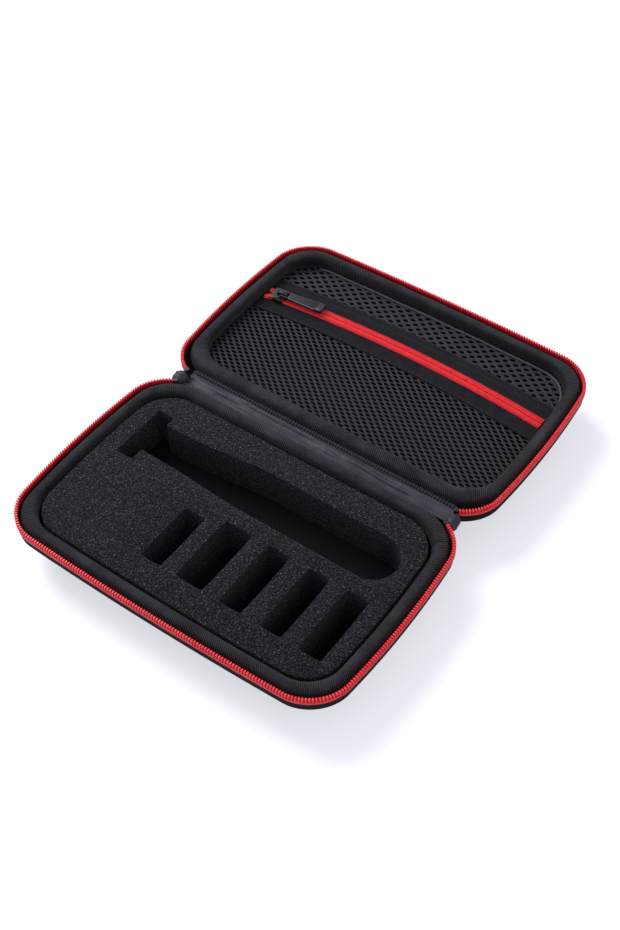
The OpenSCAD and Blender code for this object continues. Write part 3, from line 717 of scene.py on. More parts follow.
def along_path(graph, path, shape, copies):
    """Copies spaced evenly along a path and turned to follow it."""
    line = graph.add("GeometryNodeMeshToCurve", None, {"Mesh": path})
    even = graph.add("GeometryNodeResampleCurve", {"mode": "COUNT"},
                     {"Curve": line, "Count": copies})
    turn = graph.add("FunctionNodeAlignRotationToVector", {"axis": "X", "pivot_axis": "Z"},
                     {"Vector": graph.add("GeometryNodeInputTangent")})
    return copies_on(graph, even, shape, Rotation=turn)


MARCH = geometry_tree("march_along_path", (
    ("Path", "Geometry"), ("Shape", "Object"), ("Copies", "Int"), ("Finish", "Material")),
    along_path)


def carried(name, mesh, tree, **inputs):
    """Runs a tree on a mesh and returns what it makes as a plain mesh."""
    obj = linked(name + "_path", mesh)
    modifier = obj.modifiers.new("march", "NODES")
    modifier.node_group = tree
    for item in tree.interface.items_tree:
        if item.item_type == "SOCKET" and item.in_out == "INPUT" and item.name in inputs:
            modifier[item.identifier] = inputs[item.name]
    graph = bpy.context.evaluated_depsgraph_get()
    made = bpy.data.meshes.new_from_object(obj.evaluated_get(graph))
    obj.modifiers.remove(modifier)
    bpy.data.objects.remove(obj)
    made.name = name
    return made


def march(name, path, shape, spacing, material):
    """Copies of a shape along a path in millimetres, spacing apart."""
    length = np.linalg.norm(np.diff(path, axis=0), axis=1).sum()
    mesh = mesh_of(name + "_line", path, [(i, i + 1) for i in range(len(path) - 1)], [])
    made = carried(name, mesh, MARCH, Shape=shape, Copies=int(round(length / spacing)) + 1,
                   Finish=material)
    return finish_mesh(name, made, material)


def lozenge(name, size, edge):
    """A small block with chamfered edges, for copying: size in millimetres."""
    bm = bmesh.new()
    bmesh.ops.create_cube(bm, size=1)
    bmesh.ops.scale(bm, vec=[c / 1000 for c in size], verts=bm.verts)
    bmesh.ops.bevel(bm, geom=bm.edges[:], offset=edge / 1000, segments=1, affect="EDGES",
                    profile=0.6)
    mesh = bpy.data.meshes.new(name)
    bm.to_mesh(mesh)
    bm.free()
    return linked(name, mesh)


print("tree inputs:", [i.name for i in MARCH.interface.items_tree])

# %% [markdown]
# The rim's coil reads as a row of bright bars with dark gaps, standing on an unbroken
# red edge where the nylon is sewn down. So each half gets three parts: the bars, a core
# whose deeper red is painted shade for the gaps between them, and the outer edge.

# %% Coil round the rim
CORE_SECTION = [(0.3, 24.1), (1.7, 24.1), (1.7, 26.5), (1.4, 26.9), (0.6, 26.9), (0.3, 26.5)]
EDGE_SECTION = [(0.0, 24.3), (0.15, 24.05), (0.6, 24.0), (0.6, 25.5), (0.15, 25.5), (0.0, 25.25)]
COIL_IN, COIL_Z, COIL_GAP = 0.95, 26.3, 0.7   # middle of the bars, clear of each end stop
tooth = lozenge("tooth", (1.08, 1.8, 2.8), 0.3)
for half in ("base", "lid"):
    start, end = TOOTH_FROM + COIL_GAP, RIM_TOTAL - TOOTH_FROM - COIL_GAP
    path = rim_path(half, COIL_IN, COIL_Z, start, end, 0.75)
    bars = march(half + "_bars", path, tooth, TOOTH_PITCH, COIL)
    # The core: painted shade that shows in the gaps between the bars.
    middle = strip_piece(half + "_core", rim_strip(half, CORE_SECTION), PAINTED_SHADE_CORE, mapped=False)
    outer = strip_piece(half + "_edge", rim_strip(half, EDGE_SECTION), COIL, mapped=False)
    settle(join(half + "_coil", [bars, middle, outer]), half, "red_coil",
           half + "_zipper_teeth")
bpy.data.objects.remove(tooth)

# %% [markdown]
# The foam has its pockets cut through. A flat curve with holes is the easy way: its
# outlines fill themselves, Extrude gives the height, and a small bevel softens the cut
# edges. Three layers, each narrower than the one above, sit in the bend of the tray.

# %% Foam insert
SHAVER_Y, GRIP_Y, HEAD_X, GRIP_END, GRIP_R = 23.4, 24.4, -80.0, 81.3, 14
SLOTS = ((-26.3, 12.1, 34.8), (-4.5, 16.1, 40), (22.1, 12.7, 40), (46.4, 12, 40), (68.6, 12.6, 40))
SLOT_Y, SLOT_BULGE = -39.3, 0.35              # SLOTS holds their left ends, widths, lengths


def box_outline(x, y, w, h, r=0.7, bulge=0.0):
    """A rectangle with small corners, its sides bulged a little. Each corner has 5 points
    and each long side 6."""
    points = []
    for cx, cy, a0 in ((x + w - r, y + r, 270), (x + w - r, y + h - r, 0),
                       (x + r, y + h - r, 90), (x + r, y + r, 180)):
        for k in range(5):
            a = math.radians(a0 + 22.5 * k)
            points.append((cx + r * math.cos(a), cy + r * math.sin(a)))
    out = []
    for (x0, y0), (x1, y1) in zip(points, points[1:] + points[:1]):
        for k in range(6 if math.hypot(x1 - x0, y1 - y0) > 3 else 1):
            f = k / 6
            px, py = x0 + (x1 - x0) * f, y0 + (y1 - y0) * f
            sway = bulge * math.sin(math.pi * f)
            out.append((px + sway * (y1 - y0) / h, py - sway * (x1 - x0) / w))
    return out


def shaver_outline():
    """Head pocket and grip pocket as one outline."""
    head_right, half_head, half_neck, half_grip = HEAD_X + 10, 17.1, 10.3, 14.0
    head_y, waist, full, steps = SHAVER_Y - 0.9, -60.0, 0.0, 16

    def side(sign, f):
        ease = (1 - math.cos(math.pi * f)) / 2
        half = half_neck + (half_grip - half_neck) * ease
        return SHAVER_Y + (GRIP_Y - SHAVER_Y) * ease + sign * half

    low, high = [[(waist + (full - waist) * k / steps, side(sign, k / steps))
                  for k in range(steps + 1)] for sign in (-1, 1)]
    end = [(GRIP_END - GRIP_R + GRIP_R * math.cos(math.radians(a)),
            GRIP_Y + GRIP_R * math.sin(math.radians(a))) for a in range(-90, 91, 6)]
    return ([(HEAD_X, head_y - half_head), (head_right, head_y - half_head),
             (head_right, side(-1, 0))] + low + end + high[::-1]
            + [(head_right, side(1, 0)), (head_right, head_y + half_head),
               (HEAD_X, head_y + half_head)])


def foam_block(name, inset, reach, low, high, edge):
    """One layer of the foam between two heights, its cut edges bevelled by edge."""
    curve = bpy.data.curves.new(name, "CURVE")
    curve.dimensions, curve.fill_mode = "2D", "BOTH"
    holes = [shaver_outline()]
    holes += [box_outline(x, SLOT_Y, w, h, bulge=SLOT_BULGE) for x, w, h in SLOTS]
    for points in [[(x, -y) for x, y in outline(inset, reach)]] + holes:
        spline = curve.splines.new("POLY")
        spline.points.add(len(points) - 1)
        spline.use_cyclic_u = True
        for point, (x, y) in zip(spline.points, points):
            point.co = (x / 1000, (y - MIDDLE_Y) / 1000, 0, 1)
    curve.bevel_depth, curve.bevel_resolution, curve.offset = edge / 1000, 1, -edge / 1000
    curve.extrude = (high - low) / 2000 - edge / 1000
    obj = linked(name + "_curve", curve)
    graph = bpy.context.evaluated_depsgraph_get()
    mesh = bpy.data.meshes.new_from_object(obj.evaluated_get(graph))
    bpy.data.objects.remove(obj)
    mesh.transform(Matrix.Translation((0, 0, (low + high) / 2000)))
    outwards(mesh, weld=1e-6)
    return finish_mesh(name, mesh, FOAM, 30)


insert = join("foam_block", [
    foam_block("foam_top", FOAM_IN, 1.8, 12.8, FOAM_TOP, 0.45),
    foam_block("foam_waist", FOAM_IN + 2, 0.0, 7.4, 13.0, 0.1),
    foam_block("foam_foot", FOAM_IN + 6.2, 0.0, FLOOR_TOP + 0.2, 7.6, 0.1)])
settle(insert, "base", "foam", "foam_insert")

# %% [markdown]
# The net is a lattice of slanting holes. Its unit is a rhombus with an oval hole, raised
# along its edges, so that copies laid side by side share their edges and read as crossed
# threads. Geometry Nodes lay the unit on every point of the lattice, and merging by
# distance welds them into one cloth. Two lattices are used, because the cloth above the
# zip is stretched wider than the cloth below it.

# %% Net of the lid pocket


def arc_y(x, off):
    """Where the zip's arc runs, off further out from its centre, at places along X."""
    return ARC_TOP - ARC_R + np.sqrt((ARC_R + off) ** 2 - np.asarray(x, float) ** 2)


def woven(graph, points, unit, weld):
    """Copies on a lattice, welded where they touch."""
    return graph.add("GeometryNodeMergeByDistance", None,
                     {"Geometry": copies_on(graph, points, unit), "Distance": weld})


NET_TREE = geometry_tree("lay_net", (
    ("Points", "Geometry"), ("Unit", "Object"), ("Weld", "Float"), ("Finish", "Material")),
    woven)


def net_unit(name, a, b, hole, tilt):
    """A rhombus with sides a and b, in millimetres, and an oval hole turned by tilt."""
    corners = [(-a - b) / 2, (a - b) / 2, (a + b) / 2, (b - a) / 2]
    rim = [corners[k] + (corners[(k + 1) % 4] - corners[k]) * j / 3
           for k in range(4) for j in range(3)]
    turn = np.array([[math.cos(tilt), -math.sin(tilt)], [math.sin(tilt), math.cos(tilt)]])
    inner = []
    for p in rim:
        q = turn.T @ p
        q = q / math.hypot(q[0] / hole[0], q[1] / hole[1])
        inner.append(turn @ q)
    mid = [p * 0.45 + q * 0.55 for p, q in zip(rim, inner)]
    rings = [(rim, -0.30), (inner, -0.05), (mid, 0.24), (rim, 0.30)]
    n = len(rim)
    faces = [(r * n + k, r * n + (k + 1) % n, (r + 1) * n + (k + 1) % n, (r + 1) * n + k)
             for r in range(len(rings) - 1) for k in range(n)]
    return linked(name, mesh_of(name, [(*p, z) for ring, z in rings for p in ring], [], faces))


def inside(points, ring):
    """Which points lie inside a closed ring."""
    x, y = points[:, 0:1], points[:, 1:2]
    x0, y0 = ring[:, 0], ring[:, 1]
    x1, y1 = np.roll(x0, -1), np.roll(y0, -1)
    crosses = ((y0 > y) != (y1 > y)) & (x < (x1 - x0) * (y - y0) / (y1 - y0 + 1e-12) + x0)
    return crosses.sum(1) % 2 == 1


def close_border(mesh):
    """Joins the upper and lower edge of the cloth all round its border."""
    bm = bmesh.new()
    bm.from_mesh(mesh)
    open_edges = [e for e in bm.edges if e.is_boundary]
    found = {}
    for e in open_edges:
        mid = (e.verts[0].co + e.verts[1].co) / 2
        found.setdefault((round(mid.x * 2e4), round(mid.y * 2e4)), []).append(e)
    for pair in found.values():
        if len(pair) == 2:
            (a, b), (c, d) = pair[0].verts, pair[1].verts
            if (a.co.xy - c.co.xy).length > (a.co.xy - d.co.xy).length:
                c, d = d, c
            bm.faces.new((a, b, d, c))
    bmesh.ops.recalc_face_normals(bm, faces=bm.faces)
    bm.to_mesh(mesh)
    bm.free()


NET_IN, NET_Z, NET_REACH = 5.6, 19.65, -6.8   # edge of the cloth under the lip, its height
SPAN = 90                                     # cells tried each way from the middle


def net_cloth(name, sides, hole, tilt, edge, middle, node):
    """The cloth on one side of the zip. It starts edge away from the zip, below it where
    that is negative, and its lattice is laid about middle."""
    a, b = (np.array(side) for side in sides)
    unit = net_unit(name + "_unit", a, b, hole, tilt)
    i, j = np.meshgrid(np.arange(-SPAN, SPAN + 1), np.arange(-SPAN, SPAN + 1))
    centres = i.reshape(-1, 1) * a + j.reshape(-1, 1) * b + np.array([0.0, middle])
    beyond = centres[:, 1] - arc_y(np.clip(centres[:, 0], -95, 95), edge)
    centres = centres[inside(centres, outline(NET_IN, NET_REACH)) & (beyond * edge > 0)]
    at = place("lid", flat_line(centres[:, 0], centres[:, 1], NET_Z))
    made = carried(name, mesh_of(name + "_lattice", at, [], []), NET_TREE, Unit=unit,
                   Weld=0.00006, Finish=NET)
    bpy.data.objects.remove(unit)
    close_border(made)
    co = np.zeros(len(made.vertices) * 3)
    made.vertices.foreach_get("co", co)
    co = co.reshape(-1, 3)
    x, y = co[:, 0] * 1000, co[:, 1] * 1000
    co[:, 2] += 0.00012 * (np.sin(x / 17 + 1) + np.sin(y / 11) + np.sin((x + y) / 9))
    made.vertices.foreach_set("co", co.reshape(-1))
    cloth = finish_mesh(name, made, NET, 80)
    return settle(cloth, "lid", "net", node)


net_cloth("net_below", ((2.43, -2.0), (3.0, 1.71)), (1.68, 0.84), math.radians(-7),
          -9.8, -39.9, "pocket_net_lower")
net_cloth("net_above", ((3.29, -2.43), (3.31, 2.63)), (1.62, 0.95), math.radians(14),
          12.0, 41.0, "pocket_net_upper")

# %% [markdown]
# Above and below the zip the pocket is solid knit. Each band is a closed strip that
# follows the zip's arc, a little thicker at its turned edges. The upper band has a
# sewn groove towards its far edge, so its rows dip there.

# %% Bands of the lid pocket
BAND_IN = 5.3                                 # how far in from the rim the bands end


def arc_rows(rows):
    """Rings of points along the zip's arc: rows are (offset from the zip, height)."""
    rings = []
    for off, z in rows:
        bow = BOW_SHORT / HALF_X * (1 - ((ARC_TOP + off) / HALF_Y) ** 2)
        x = np.linspace(-1, 1, 181) * ((HALF_X - BAND_IN) * (1 + bow))
        rings.append(flat_line(x, arc_y(x, off), z))
    return place("lid", rings)


def band_strip(name, rows, node):
    """A band, its surface lifted a little by slow and quick waves."""
    rings = arc_rows(rows)
    x, y = rings[..., 0], rings[..., 1]
    lift = 0.10 * np.sin(x / 13 + 0.5) * np.sin(y / 4) + 0.07 * np.sin(x / 5.3 + y / 3)
    rings[..., 2] += lift
    strip = strip_piece(name, rings, BAND, 70)
    return settle(strip, "lid", "band_cloth", node)


band_strip("band_below", [(-0.4, 20.0), (-12.6, 20.0), (-12.75, 20.25), (-12.6, 20.62),
                          (-12.0, 20.7), (-11.2, 20.6), (-9.0, 20.62), (-6.0, 20.6),
                          (-4.2, 20.62), (-0.4, 20.68)], "pocket_band_lower")
band_strip("band_above", [(0.4, 20.0), (14.3, 20.0), (14.5, 20.25), (14.3, 20.62),
                          (13.6, 20.7), (12.6, 20.6), (11.1, 20.68), (10.7, 20.45),
                          (10.3, 20.68), (8.0, 20.6), (4.2, 20.62), (0.4, 20.68)],
           "pocket_band_upper")

# %% [markdown]
# A narrow grey hem finishes the far edge of the net where it meets the lip. It is a
# thin roll that follows the outline round the two far corners.

# %% Hem along the far lip


def unit_steps(path):
    """Directions along a path, each of length 1."""
    ahead = np.gradient(path, axis=0)
    return ahead / np.linalg.norm(ahead, axis=1)[:, None]


def cord_piece(name, path, radius, material, sides=8):
    """A round cord along a path in millimetres."""
    ahead = unit_steps(path)
    across = np.cross(ahead, (0, 0, 1.0))
    across /= np.linalg.norm(across, axis=1)[:, None]
    up = np.cross(across, ahead)
    edges = [path + radius * (across * math.cos(a) + up * math.sin(a))
             for a in np.arange(sides) * 2 * math.pi / sides]
    return strip_piece(name, np.array(edges), material, 60)


HEM_IN, HEM_R, HEM_Z = 11.0, 0.55, 20.45      # depth from the rim, radius, height
edge = outline(HEM_IN, NET_REACH)
first = int(np.argmax((edge[:, 0] > 70) & (edge[:, 1] > 30)))
line = edge[first:first + 2 * LONG_N + 2 * CORNER_N - 22]
line = flat_line(line[:, 0], line[:, 1], HEM_Z + 0.12 * np.sin(np.arange(len(line)) / 3.0))
settle(cord_piece("net_hem", place("lid", line), HEM_R, HEM), "lid", "net")

# %% [markdown]
# The pocket zip is two rows of coil that meet at a fine slit. Its ribs are finer than
# the rim's and as wide as the row, and a thin darker line of stitches crosses them.
# Beyond the slider the rows part a little.

# %% Pocket zip
ROW_END, PART_X, PART_BY = 90.2, -85.5, 1.1   # end of the rows, where and how far they part
RIB_Y, RIB_Z, RIB_PITCH = 1.86, 21.5, 1.25    # middle of a row's ribs beside the zip's arc
SEWN_Y, SEWN_Z, SEWN_PITCH = 2.5, 21.92, 1.12     # and of the stitches across them


def zip_path(off, z, step=0.5):
    """A line beside the zip's arc, off from it, that drifts away beyond the slider."""
    x = np.arange(-ROW_END, ROW_END + 0.01, step)
    part = np.clip((PART_X - x) / 4.0, 0, 1) ** 2 * PART_BY
    return place("lid", flat_line(x, arc_y(x, off) + np.sign(off) * part, z))


ROW_SECTION = [(0.3, 20.72), (3.35, 20.72), (3.5, 20.95), (3.35, 21.25), (2.1, 21.4), (0.3, 21.6)]
bar = lozenge("pocket_tooth", (0.86, 3.1, 1.3), 0.32)
stitch = lozenge("pocket_stitch", (0.8, 0.3, 0.3), 0.1)
for name, sign in (("lower", -1), ("upper", 1)):
    bars = march("zip_bars_" + name, zip_path(sign * RIB_Y, RIB_Z), bar, RIB_PITCH, COIL)
    row = np.array([zip_path(sign * off, z, 1.5) for off, z in ROW_SECTION])
    row = strip_piece("zip_tape_" + name, row, COIL, mapped=False)
    sewn = march("zip_stitch_" + name, zip_path(sign * SEWN_Y, SEWN_Z), stitch, SEWN_PITCH,
                 MAROON)
    settle(join("pocket_zip_" + name, [bars, row, sewn]), "lid", "red_coil",
           "pocket_teeth_" + name)
bpy.data.objects.remove(bar)
bpy.data.objects.remove(stitch)

# %% [markdown]
# Rows of black stitches hold the bands to the zip and turn under the band's far edge.
# They ride on the lid with the cloth. The end stops of the zips keep the model's own
# shapes and only get the black lacquer.

# %% Stitches on the bands, and the end stops
stitch = lozenge("band_stitch", (1.9, 0.34, 0.3), 0.13)
seams = []
for off, spacing in ((-4.4, 2.7), (4.4, 2.7), (-11.8, 3.0), (13.4, 3.0), (10.7, 2.4)):
    x = np.arange(-89, 89.01, 0.5)
    line = place("lid", flat_line(x, arc_y(x, off), 20.68))
    seams.append(march("seam", line, stitch, spacing, THREAD))
bpy.data.objects.remove(stitch)
settle(join("band_seams", seams), "lid", "band_cloth")
for node in ("pocket_end_stops", "base_zipper_stops", "lid_zipper_stops"):
    nodes[node].data.materials.clear()
    nodes[node].data.materials.append(BLACK)

# %% [markdown]
# The pocket's slider is drawn at the crown of the zip and then carried along the arc.
# Its body is a shield with a raised back and side rails; a hoop over it holds the pull.
# slab() turns an outline into a plate with rounded edges and a domed top.

# %% Slider shapes


def slab(name, ring, low, high, edge, material, dome=0.0):
    """A plate from an outline, with rounded edges, its top raised to a dome."""
    ring = np.array(ring, float)
    middle = ring.mean(0)
    reach = np.linalg.norm(ring - middle, axis=1).max()
    rows = [(1.0 - edge / reach, low), (1.0, low + edge * 0.5), (1.0, high - edge)]
    rows += [(1.0 - 0.3 * edge / reach, high - 0.3 * edge), (1.0 - edge / reach, high)]
    rows += [(f, high + dome * (1 - f * f)) for f in (0.8, 0.55, 0.28)] if dome else []
    rings = [np.column_stack([middle + (ring - middle) * f, np.full(len(ring), z)])
             for f, z in rows]
    return capped_piece(name, np.array(rings), material, 35, mapped=False)


def shield(length, width):
    """Outline of a slider plate: broad at the mouth and narrower at the tail."""
    nose = 0.55
    half = [(-0.5, 0.0), (-0.5, nose * 0.55), (-0.44, nose * 0.86), (-0.3, nose),
            (-0.05, nose * 1.02), (0.12, 0.86), (0.28, 1.0), (0.4, 0.98), (0.47, 0.84),
            (0.5, 0.6), (0.5, 0.0)]
    low = [(x * length, -y * width / 2) for x, y in half]
    return low + [(x, -y) for x, y in low[-2:0:-1]]


def rails(name, x, y, w, h, low, high, edge):
    """The two side rails of a slider, y from its middle."""
    return [slab(name, box_outline(x, side * y - h / 2, w, h, 0.3), low, high, edge, BLACK)
            for side in (-1, 1)]


def carry(obj, x):
    """Moves a shape from the crown of the zip to its place along the arc."""
    turn = math.asin(x / ARC_R)
    centre = Vector((0, (MIDDLE_Y + ARC_TOP - ARC_R) / 1000, 0))
    obj.data.transform(Matrix.Translation(centre) @ Matrix.Rotation(-turn, 4, "Z")
                       @ Matrix.Translation((0, ARC_R / 1000, 0)))
    return obj


def hoop(name, length, low, high, at):
    """A strap bent over a gap, seen from the side as a low arch."""
    half_w, half_t = 1.1, 0.25
    path = np.array([(at - length / 2 * math.cos(a), 0, low + (high - low) * math.sin(a) ** 0.55)
                     for a in np.linspace(0, math.pi, 15)])
    up = np.cross(unit_steps(path), (0, 1.0, 0)) * -1
    edges = [path + up * t + np.array([0, w, 0]) for w, t in (
        (-half_w, -half_t), (half_w, -half_t), (half_w, half_t), (-half_w, half_t))]
    return strip_piece(name, np.array(edges), BLACK, 30, mapped=False)


SLIDER_X, BAR_X, BAR_Z = -81.5, 0.9, 24.75
mouth = [(-x, y) for x, y in shield(11.0, 9.4)]
slider = join("pocket_slider_body", [
    slab("slider_top", mouth, 22.85, 23.85, 0.35, BLACK, 0.15),
    slab("slider_under", mouth, 18.55, 19.6, 0.35, BLACK),
    slab("slider_neck", box_outline(-3.9, -0.15, 3.9, 0.3, 0.1), 19.5, 23.0, 0.02, BLACK),
    *rails("slider_rail", -3.6, 4.3, 6.6, 0.8, 21.6, 23.4, 0.2),
    slab("slider_spine", box_outline(-3.6, -0.9, 7.2, 1.8, 0.6), 23.8, 24.15, 0.2, BLACK, 0.1),
    hoop("slider_hoop", 6.0, 23.9, 25.95, BAR_X)])
settle(carry(slider, SLIDER_X), "pocket_slider", "black_metal", "pocket_slider")

# %% [markdown]
# The pull is a long flat tab. Two arms and a cross bar hang in the hoop; the tab gets
# wider and thicker towards its end. Its upper face is an inlay of matt slate, and a
# pale cord along one edge is a painted highlight.

# %% Pocket pull


def dense(ring, step=1.0):
    """The same outline with points about step apart."""
    out = []
    for (x0, y0), (x1, y1) in zip(ring, ring[1:] + ring[:1]):
        n = max(1, int(math.hypot(x1 - x0, y1 - y0) / step))
        out += [(x0 + (x1 - x0) * k / n, y0 + (y1 - y0) * k / n) for k in range(n)]
    return out


def tab(x0, x1, w0, w1, cut):
    """A tab from the bar outwards, w0 wide at x0 and w1 at x1, with cut corners."""
    ring = [(x0, -w0 / 2), (x1 - cut, -w1 / 2), (x1, -w1 / 2 + cut), (x1, w1 / 2 - cut),
            (x1 - cut, w1 / 2), (x0, w0 / 2)]
    return dense([(x + BAR_X, y) for x, y in ring])


def arm(side):
    """One of the two arms that hold the pull to its bar."""
    x0, x1, y0, y1 = BAR_X - 0.6, BAR_X + 4.8, side * 2.0, side * 2.1
    ring = [(x0, y0 - 0.5), (x1, y1 - 0.5), (x1, y1 + 0.5), (x0, y0 + 0.5)]
    return slab("pull_arm", dense(ring, 0.8), 24.2, 25.3, 0.25, BLACK)


bar_line = flat_line(np.full(9, BAR_X), np.linspace(-2.5, 2.5, 9), BAR_Z)
# A pale cord along the tab's near edge: a painted highlight.
shine = flat_line(BAR_X + np.linspace(5.2, 22.0, 20), -np.linspace(2.35, 3.15, 20), 25.22)
pull = join("pocket_pull_tab", [
    slab("pull_blade", tab(4.3, 26.4, 5.2, 7.0, 0.8), 24.15, 25.3, 0.3, BLACK),
    slab("pull_inlay", tab(5.4, 21.6, 3.7, 5.2, 0.5), 25.2, 25.42, 0.12, SLATE),
    slab("pull_toe", tab(22.6, 27.0, 6.7, 7.0, 0.7), 23.95, 25.62, 0.4, BLACK),
    cord_piece("pull_pin", bar_line, 0.6, BLACK, 12), arm(-1), arm(1),
    cord_piece("pull_shine", shine, 0.26, PAINTED_EDGE_HIGHLIGHT)])
settle(carry(pull, SLIDER_X), "pocket_pull", "black_metal", "pocket_pull")

# %% [markdown]
# Between the halves lies the hinge: a satin strip on the inside, a plain woven strip on
# the outside, and a rounded lobe of folded cloth at each end. They bend when the lid
# closes; here they are drawn as they lie open. The satin is
# a sheet with lengthwise folds that wander, and it rises at both edges to meet the lips.
# The outside strip is arched a little towards the hinge's axis, so that it bulges less
# when the case is shut.

# %% Hinge cloth
SATIN_X, SATIN_Y, SATIN_WIDE = 84.4, -2.2, 11.4   # half its length, its near edge, width
SATIN_Z, SATIN_T = 22.1, 0.45


def folded(x, f):
    """Height of the satin over the strip: folds along X that drift and pinch."""
    a = 0.6 * np.sin(2 * math.pi * (f * 1.9 + 0.16 * np.sin(x / 19) + 0.08 * np.sin(x / 6.3)))
    b = 0.34 * np.sin(2 * math.pi * (f * 3.1 - 0.18 * np.sin(x / 13 + 1.0)) + x / 17)
    rise = 1.9 * np.abs(2 * f - 1) ** 2.4
    crumple = 0.12 * np.sin(x / 4.1) * np.sin(math.pi * f)
    return SATIN_Z + (a + b) * np.sin(math.pi * f) + rise + crumple


def double(rows, thick):
    """Long edges of a cloth of some thickness, from the rows of its upper side."""
    upper = np.array(rows)
    lower = upper[::-1].copy()
    lower[..., 2] -= thick
    return np.vstack([upper, lower])


xs = np.linspace(-SATIN_X, SATIN_X, 170)
rows = [flat_line(xs, np.full(len(xs), SATIN_Y + SATIN_WIDE * f), folded(xs, f))
        for f in np.linspace(0, 1, 25)]
strip = strip_piece("hinge_satin", double(rows, SATIN_T), SATIN, 80)
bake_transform(strip)
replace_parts(strip, "hinge_inner_band")

OUT_X, OUT_Y, OUT_Z, OUT_RISE, OUT_T = 86, 2.35, 18.7, 1.1, 0.7   # half sizes, arch
xs = np.linspace(-OUT_X, OUT_X, 80)
rows = [flat_line(xs, np.full(len(xs), y), OUT_Z + OUT_RISE * (1 - (y / OUT_Y) ** 2))
        for y in np.linspace(-OUT_Y, OUT_Y, 9)]
outer = strip_piece("hinge_outside", double(rows, OUT_T), SHELL_WEAVE, 60)
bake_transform(outer)
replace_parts(outer, "hinge_outer_band")

# %% [markdown]
# Each lobe at the hinge's end is a pinched fold of the same satin: an egg shape, pulled
# in along a crease and lifted a little over the rims that it closes.

# %% Lobes at the ends of the hinge


LOBE_X, LOBE_Y, LOBE_Z, LOBE_TALL = 87.3, 5.0, 23.0, 4.2   # their middles and half sizes


def lobe(name, side, wide):
    """A lobe on one side, wide from its middle along X."""
    rows, n = 15, 36
    a = np.arange(n) * 2 * math.pi / n
    rings = []
    for k in range(1, rows):
        t = math.pi * k / rows
        r, z = math.sin(t) ** 0.7, -math.cos(t)
        crease = 1 - 0.22 * np.exp(-((np.sin(a)) / 0.22) ** 2) * (0.4 + 0.6 * (z > 0))
        wrinkle = 1 + 0.04 * np.sin(a * 5 + 3 * t) + 0.03 * np.sin(a * 9 - 2 * t)
        rings.append(flat_line(side * LOBE_X + wide * r * np.cos(a) * wrinkle,
                               LOBE_Y * r * np.sin(a) * wrinkle,
                               LOBE_Z + LOBE_TALL * z * crease))
    fold = capped_piece(name, np.array(rings), SATIN, 80)
    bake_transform(fold)
    return fold


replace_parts(lobe("hinge_lobe_left", -1, 4.4), "hinge_fold_left")
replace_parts(lobe("hinge_lobe_right", 1, 3.2), "hinge_fold_right")

# %% [markdown]
# A serrated line of black overlock stitches joins the satin to the lid's lip, and a
# fine running stitch keeps it against the base's lip.

# %% Stitches along the hinge
SEAM_X, SEAM_Z = 82, 23.75
for name, body, y, size, edge, spacing in (
        ("overlock_lid", "lid", 8.6, (1.3, 2.3, 0.8), 0.3, 1.8),
        ("running_base", "base", -1.6, (1.8, 0.4, 0.35), 0.15, 2.6)):
    stitch = lozenge(name + "_stitch", size, edge)
    line = flat_line(np.linspace(-SEAM_X, SEAM_X, 300), np.full(300, y), SEAM_Z)
    settle(march(name, line, stitch, spacing, THREAD), body, "binding_knit")
    bpy.data.objects.remove(stitch)

# %% [markdown]
# The two rim tapes end in one tail that hangs down behind the left lobe. The main
# slider is parked on it, with its short pull hanging. It is the same kind of slider as
# the pocket's, stood on end.

# %% Tail, main slider and its pull
TAIL_X, SLIDER_Z = -88.4, 11.5                # the tail, the middle of the slider on it
tail = slab("tail", box_outline(TAIL_X - 0.5, -2.5, 1.0, 5.0, 0.3), 5.0, 20.3, 0.15, TAPE)
settle(tail, "base", "zipper_tape", "zipper_tail")


def stand(obj, turn, x, z):
    """Turns a shape that lies along X about Y, to hang at x and z in millimetres."""
    obj.data.transform(Matrix.Translation((x / 1000, 0, z / 1000))
                       @ Matrix.Rotation(turn, 4, "Y"))
    return obj


plate = shield(9.0, 8.4)
body = join("main_slider_body", [
    slab("main_front", plate, 0.85, 2.05, 0.3, BLACK, 0.12),
    slab("main_back", plate, -2.05, -0.85, 0.3, BLACK),
    *rails("main_rail", -2.7, 3.75, 5.4, 0.9, -0.9, 0.9, 0.05),
    hoop("main_hoop", 5.2, 2.0, 4.3, -0.4)])
settle(stand(body, -math.pi / 2, TAIL_X, SLIDER_Z), "base", "black_metal", "main_slider")
blade = slab("main_blade", dense([(-0.5, -2.45), (9.4, -2.6), (10.0, -2.0), (10.0, 2.0),
                                  (9.4, 2.6), (-0.5, 2.45)], 0.8), -0.6, 0.6, 0.25, BLACK)
settle(stand(blade, math.pi / 2, -91.25, 10.8), "main_pull", "black_metal", "main_pull")

# %% [markdown]
# The photograph is a studio cut-out: pure white all round and a faint violet shadow to
# the right of the case. The floor is a pale diffuse plane, lifted to white only for the
# camera, so that the shadow stays and no extra light falls on the case. The sky is white
# to the camera and in reflections, and a dim, bluish fill for everything else.

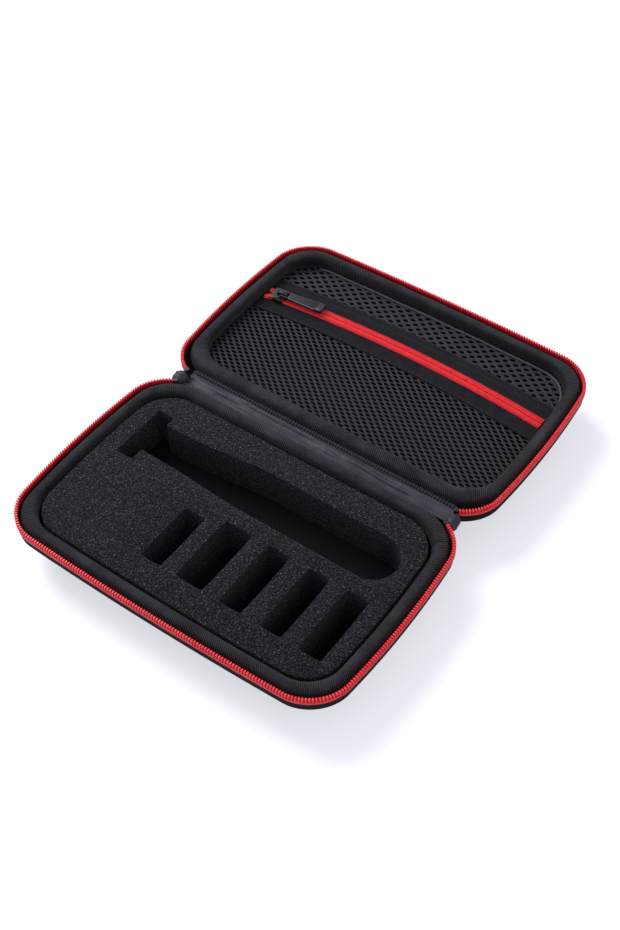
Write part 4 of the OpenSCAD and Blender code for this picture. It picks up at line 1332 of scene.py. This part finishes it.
# %% Floor and sky
floor_mesh = bpy.data.meshes.new("floor")
floor_mesh.from_pydata([(-6, -6, 0), (6, -6, 0), (6, 6, 0), (-6, 6, 0)], [], [(0, 1, 2, 3)])
floor_finish = Finish("floor_paper", Roughness=1.0, Specular_IOR_Level=0.0)
floor_finish.wear(Base_Color=floor_finish.mix(
    floor_finish.noise(400.0), (0.86, 0.86, 0.88, 1), (0.88, 0.88, 0.90, 1)))
paper = Term(floor_finish, floor_finish.shader.outputs[0])
lift = floor_finish.add("ShaderNodeEmission", None,
                        {"Color": (0.95, 0.95, 1, 1), "Strength": 0.56})
both = floor_finish.add("ShaderNodeAddShader", None, {0: paper, 1: lift})
seen = floor_finish.add("ShaderNodeLightPath", None, None, "Is Camera Ray")
shown = floor_finish.add("ShaderNodeMixShader", None, {0: seen, 1: paper, 2: both})
floor_finish.feed(floor_finish.tree.nodes["Material Output"].inputs["Surface"], shown)
floor = finish_mesh("floor", floor_mesh, floor_finish.material)

world = bpy.data.worlds.new("studio")
bpy.context.scene.world = world
world.use_nodes = True
sky = Graph(world.node_tree)
for node in list(sky.tree.nodes):
    sky.tree.nodes.remove(node)
fill, white = [sky.add("ShaderNodeBackground", None, {"Color": colour, "Strength": strength})
               for colour, strength in (((0.84, 0.87, 1.0, 1), 0.36), ((1, 1, 1, 1), 1.0))]
camera, glossy, through = [sky.add("ShaderNodeLightPath", None, None, k) for k in
                           ("Is Camera Ray", "Is Glossy Ray", "Is Transmission Ray")]
seen = camera.maths("MAXIMUM", camera, glossy.maths("MAXIMUM", glossy, through))
shown = sky.add("ShaderNodeMixShader", None, {0: seen, 1: fill, 2: white})
sky.feed(sky.tree.nodes.new("ShaderNodeOutputWorld").inputs["Surface"], shown)
print("stage ready")

# %% [markdown]
# One large soft lamp to the left and behind gives the long highlights on the lips and
# the shadow to the right. A weaker one from the front right keeps the walls of the slots
# readable. Both are plain white: the shadow's violet comes from the sky's fill and the
# floor's lift.

# %% Lamps
for name, power, size, at in (("key", 15.0, 0.8, (-0.9, 0.25, 0.95)),
                              ("side", 3.0, 1.0, (0.9, -0.7, 0.9))):
    lamp = bpy.data.lights.new(name, "AREA")
    lamp.energy, lamp.size = power, size
    lamp_obj = linked(name, lamp)
    lamp_obj.location = at
    lamp_obj.rotation_euler = (-Vector(at)).to_track_quat("-Z", "Y").to_euler()
    print(name, "lamp at", at)

# %% [markdown]
# The camera comes from a fit of the case's outline in the photograph: where it stands,
# how it is turned and how long its lens is.

# %% Camera
AZIMUTH, ELEVATION, ROLL = (math.radians(a) for a in (36.575, 49.359, -1.307))
TARGET, DISTANCE = Vector((0.00825, -0.01166, 0.0257)), 0.7263
back = Vector((math.sin(AZIMUTH) * math.cos(ELEVATION),
               -math.cos(AZIMUTH) * math.cos(ELEVATION), math.sin(ELEVATION)))
right = Vector((math.cos(AZIMUTH), math.sin(AZIMUTH), 0))
up = back.cross(right)
turned_right = right * math.cos(ROLL) + up * math.sin(ROLL)
turned_up = up * math.cos(ROLL) - right * math.sin(ROLL)
lens = bpy.data.cameras.new("camera")
lens.lens, lens.sensor_width, lens.sensor_fit = 54.74, 36.0, "AUTO"
camera = linked("camera", lens)
spin = Matrix((turned_right, turned_up, back)).transposed()
camera.matrix_world = Matrix.Translation(TARGET + back * DISTANCE) @ spin.to_4x4()
bpy.context.scene.camera = camera
bpy.context.scene.view_settings.view_transform = "Standard"
print("camera at", [round(c, 3) for c in camera.matrix_world.translation])
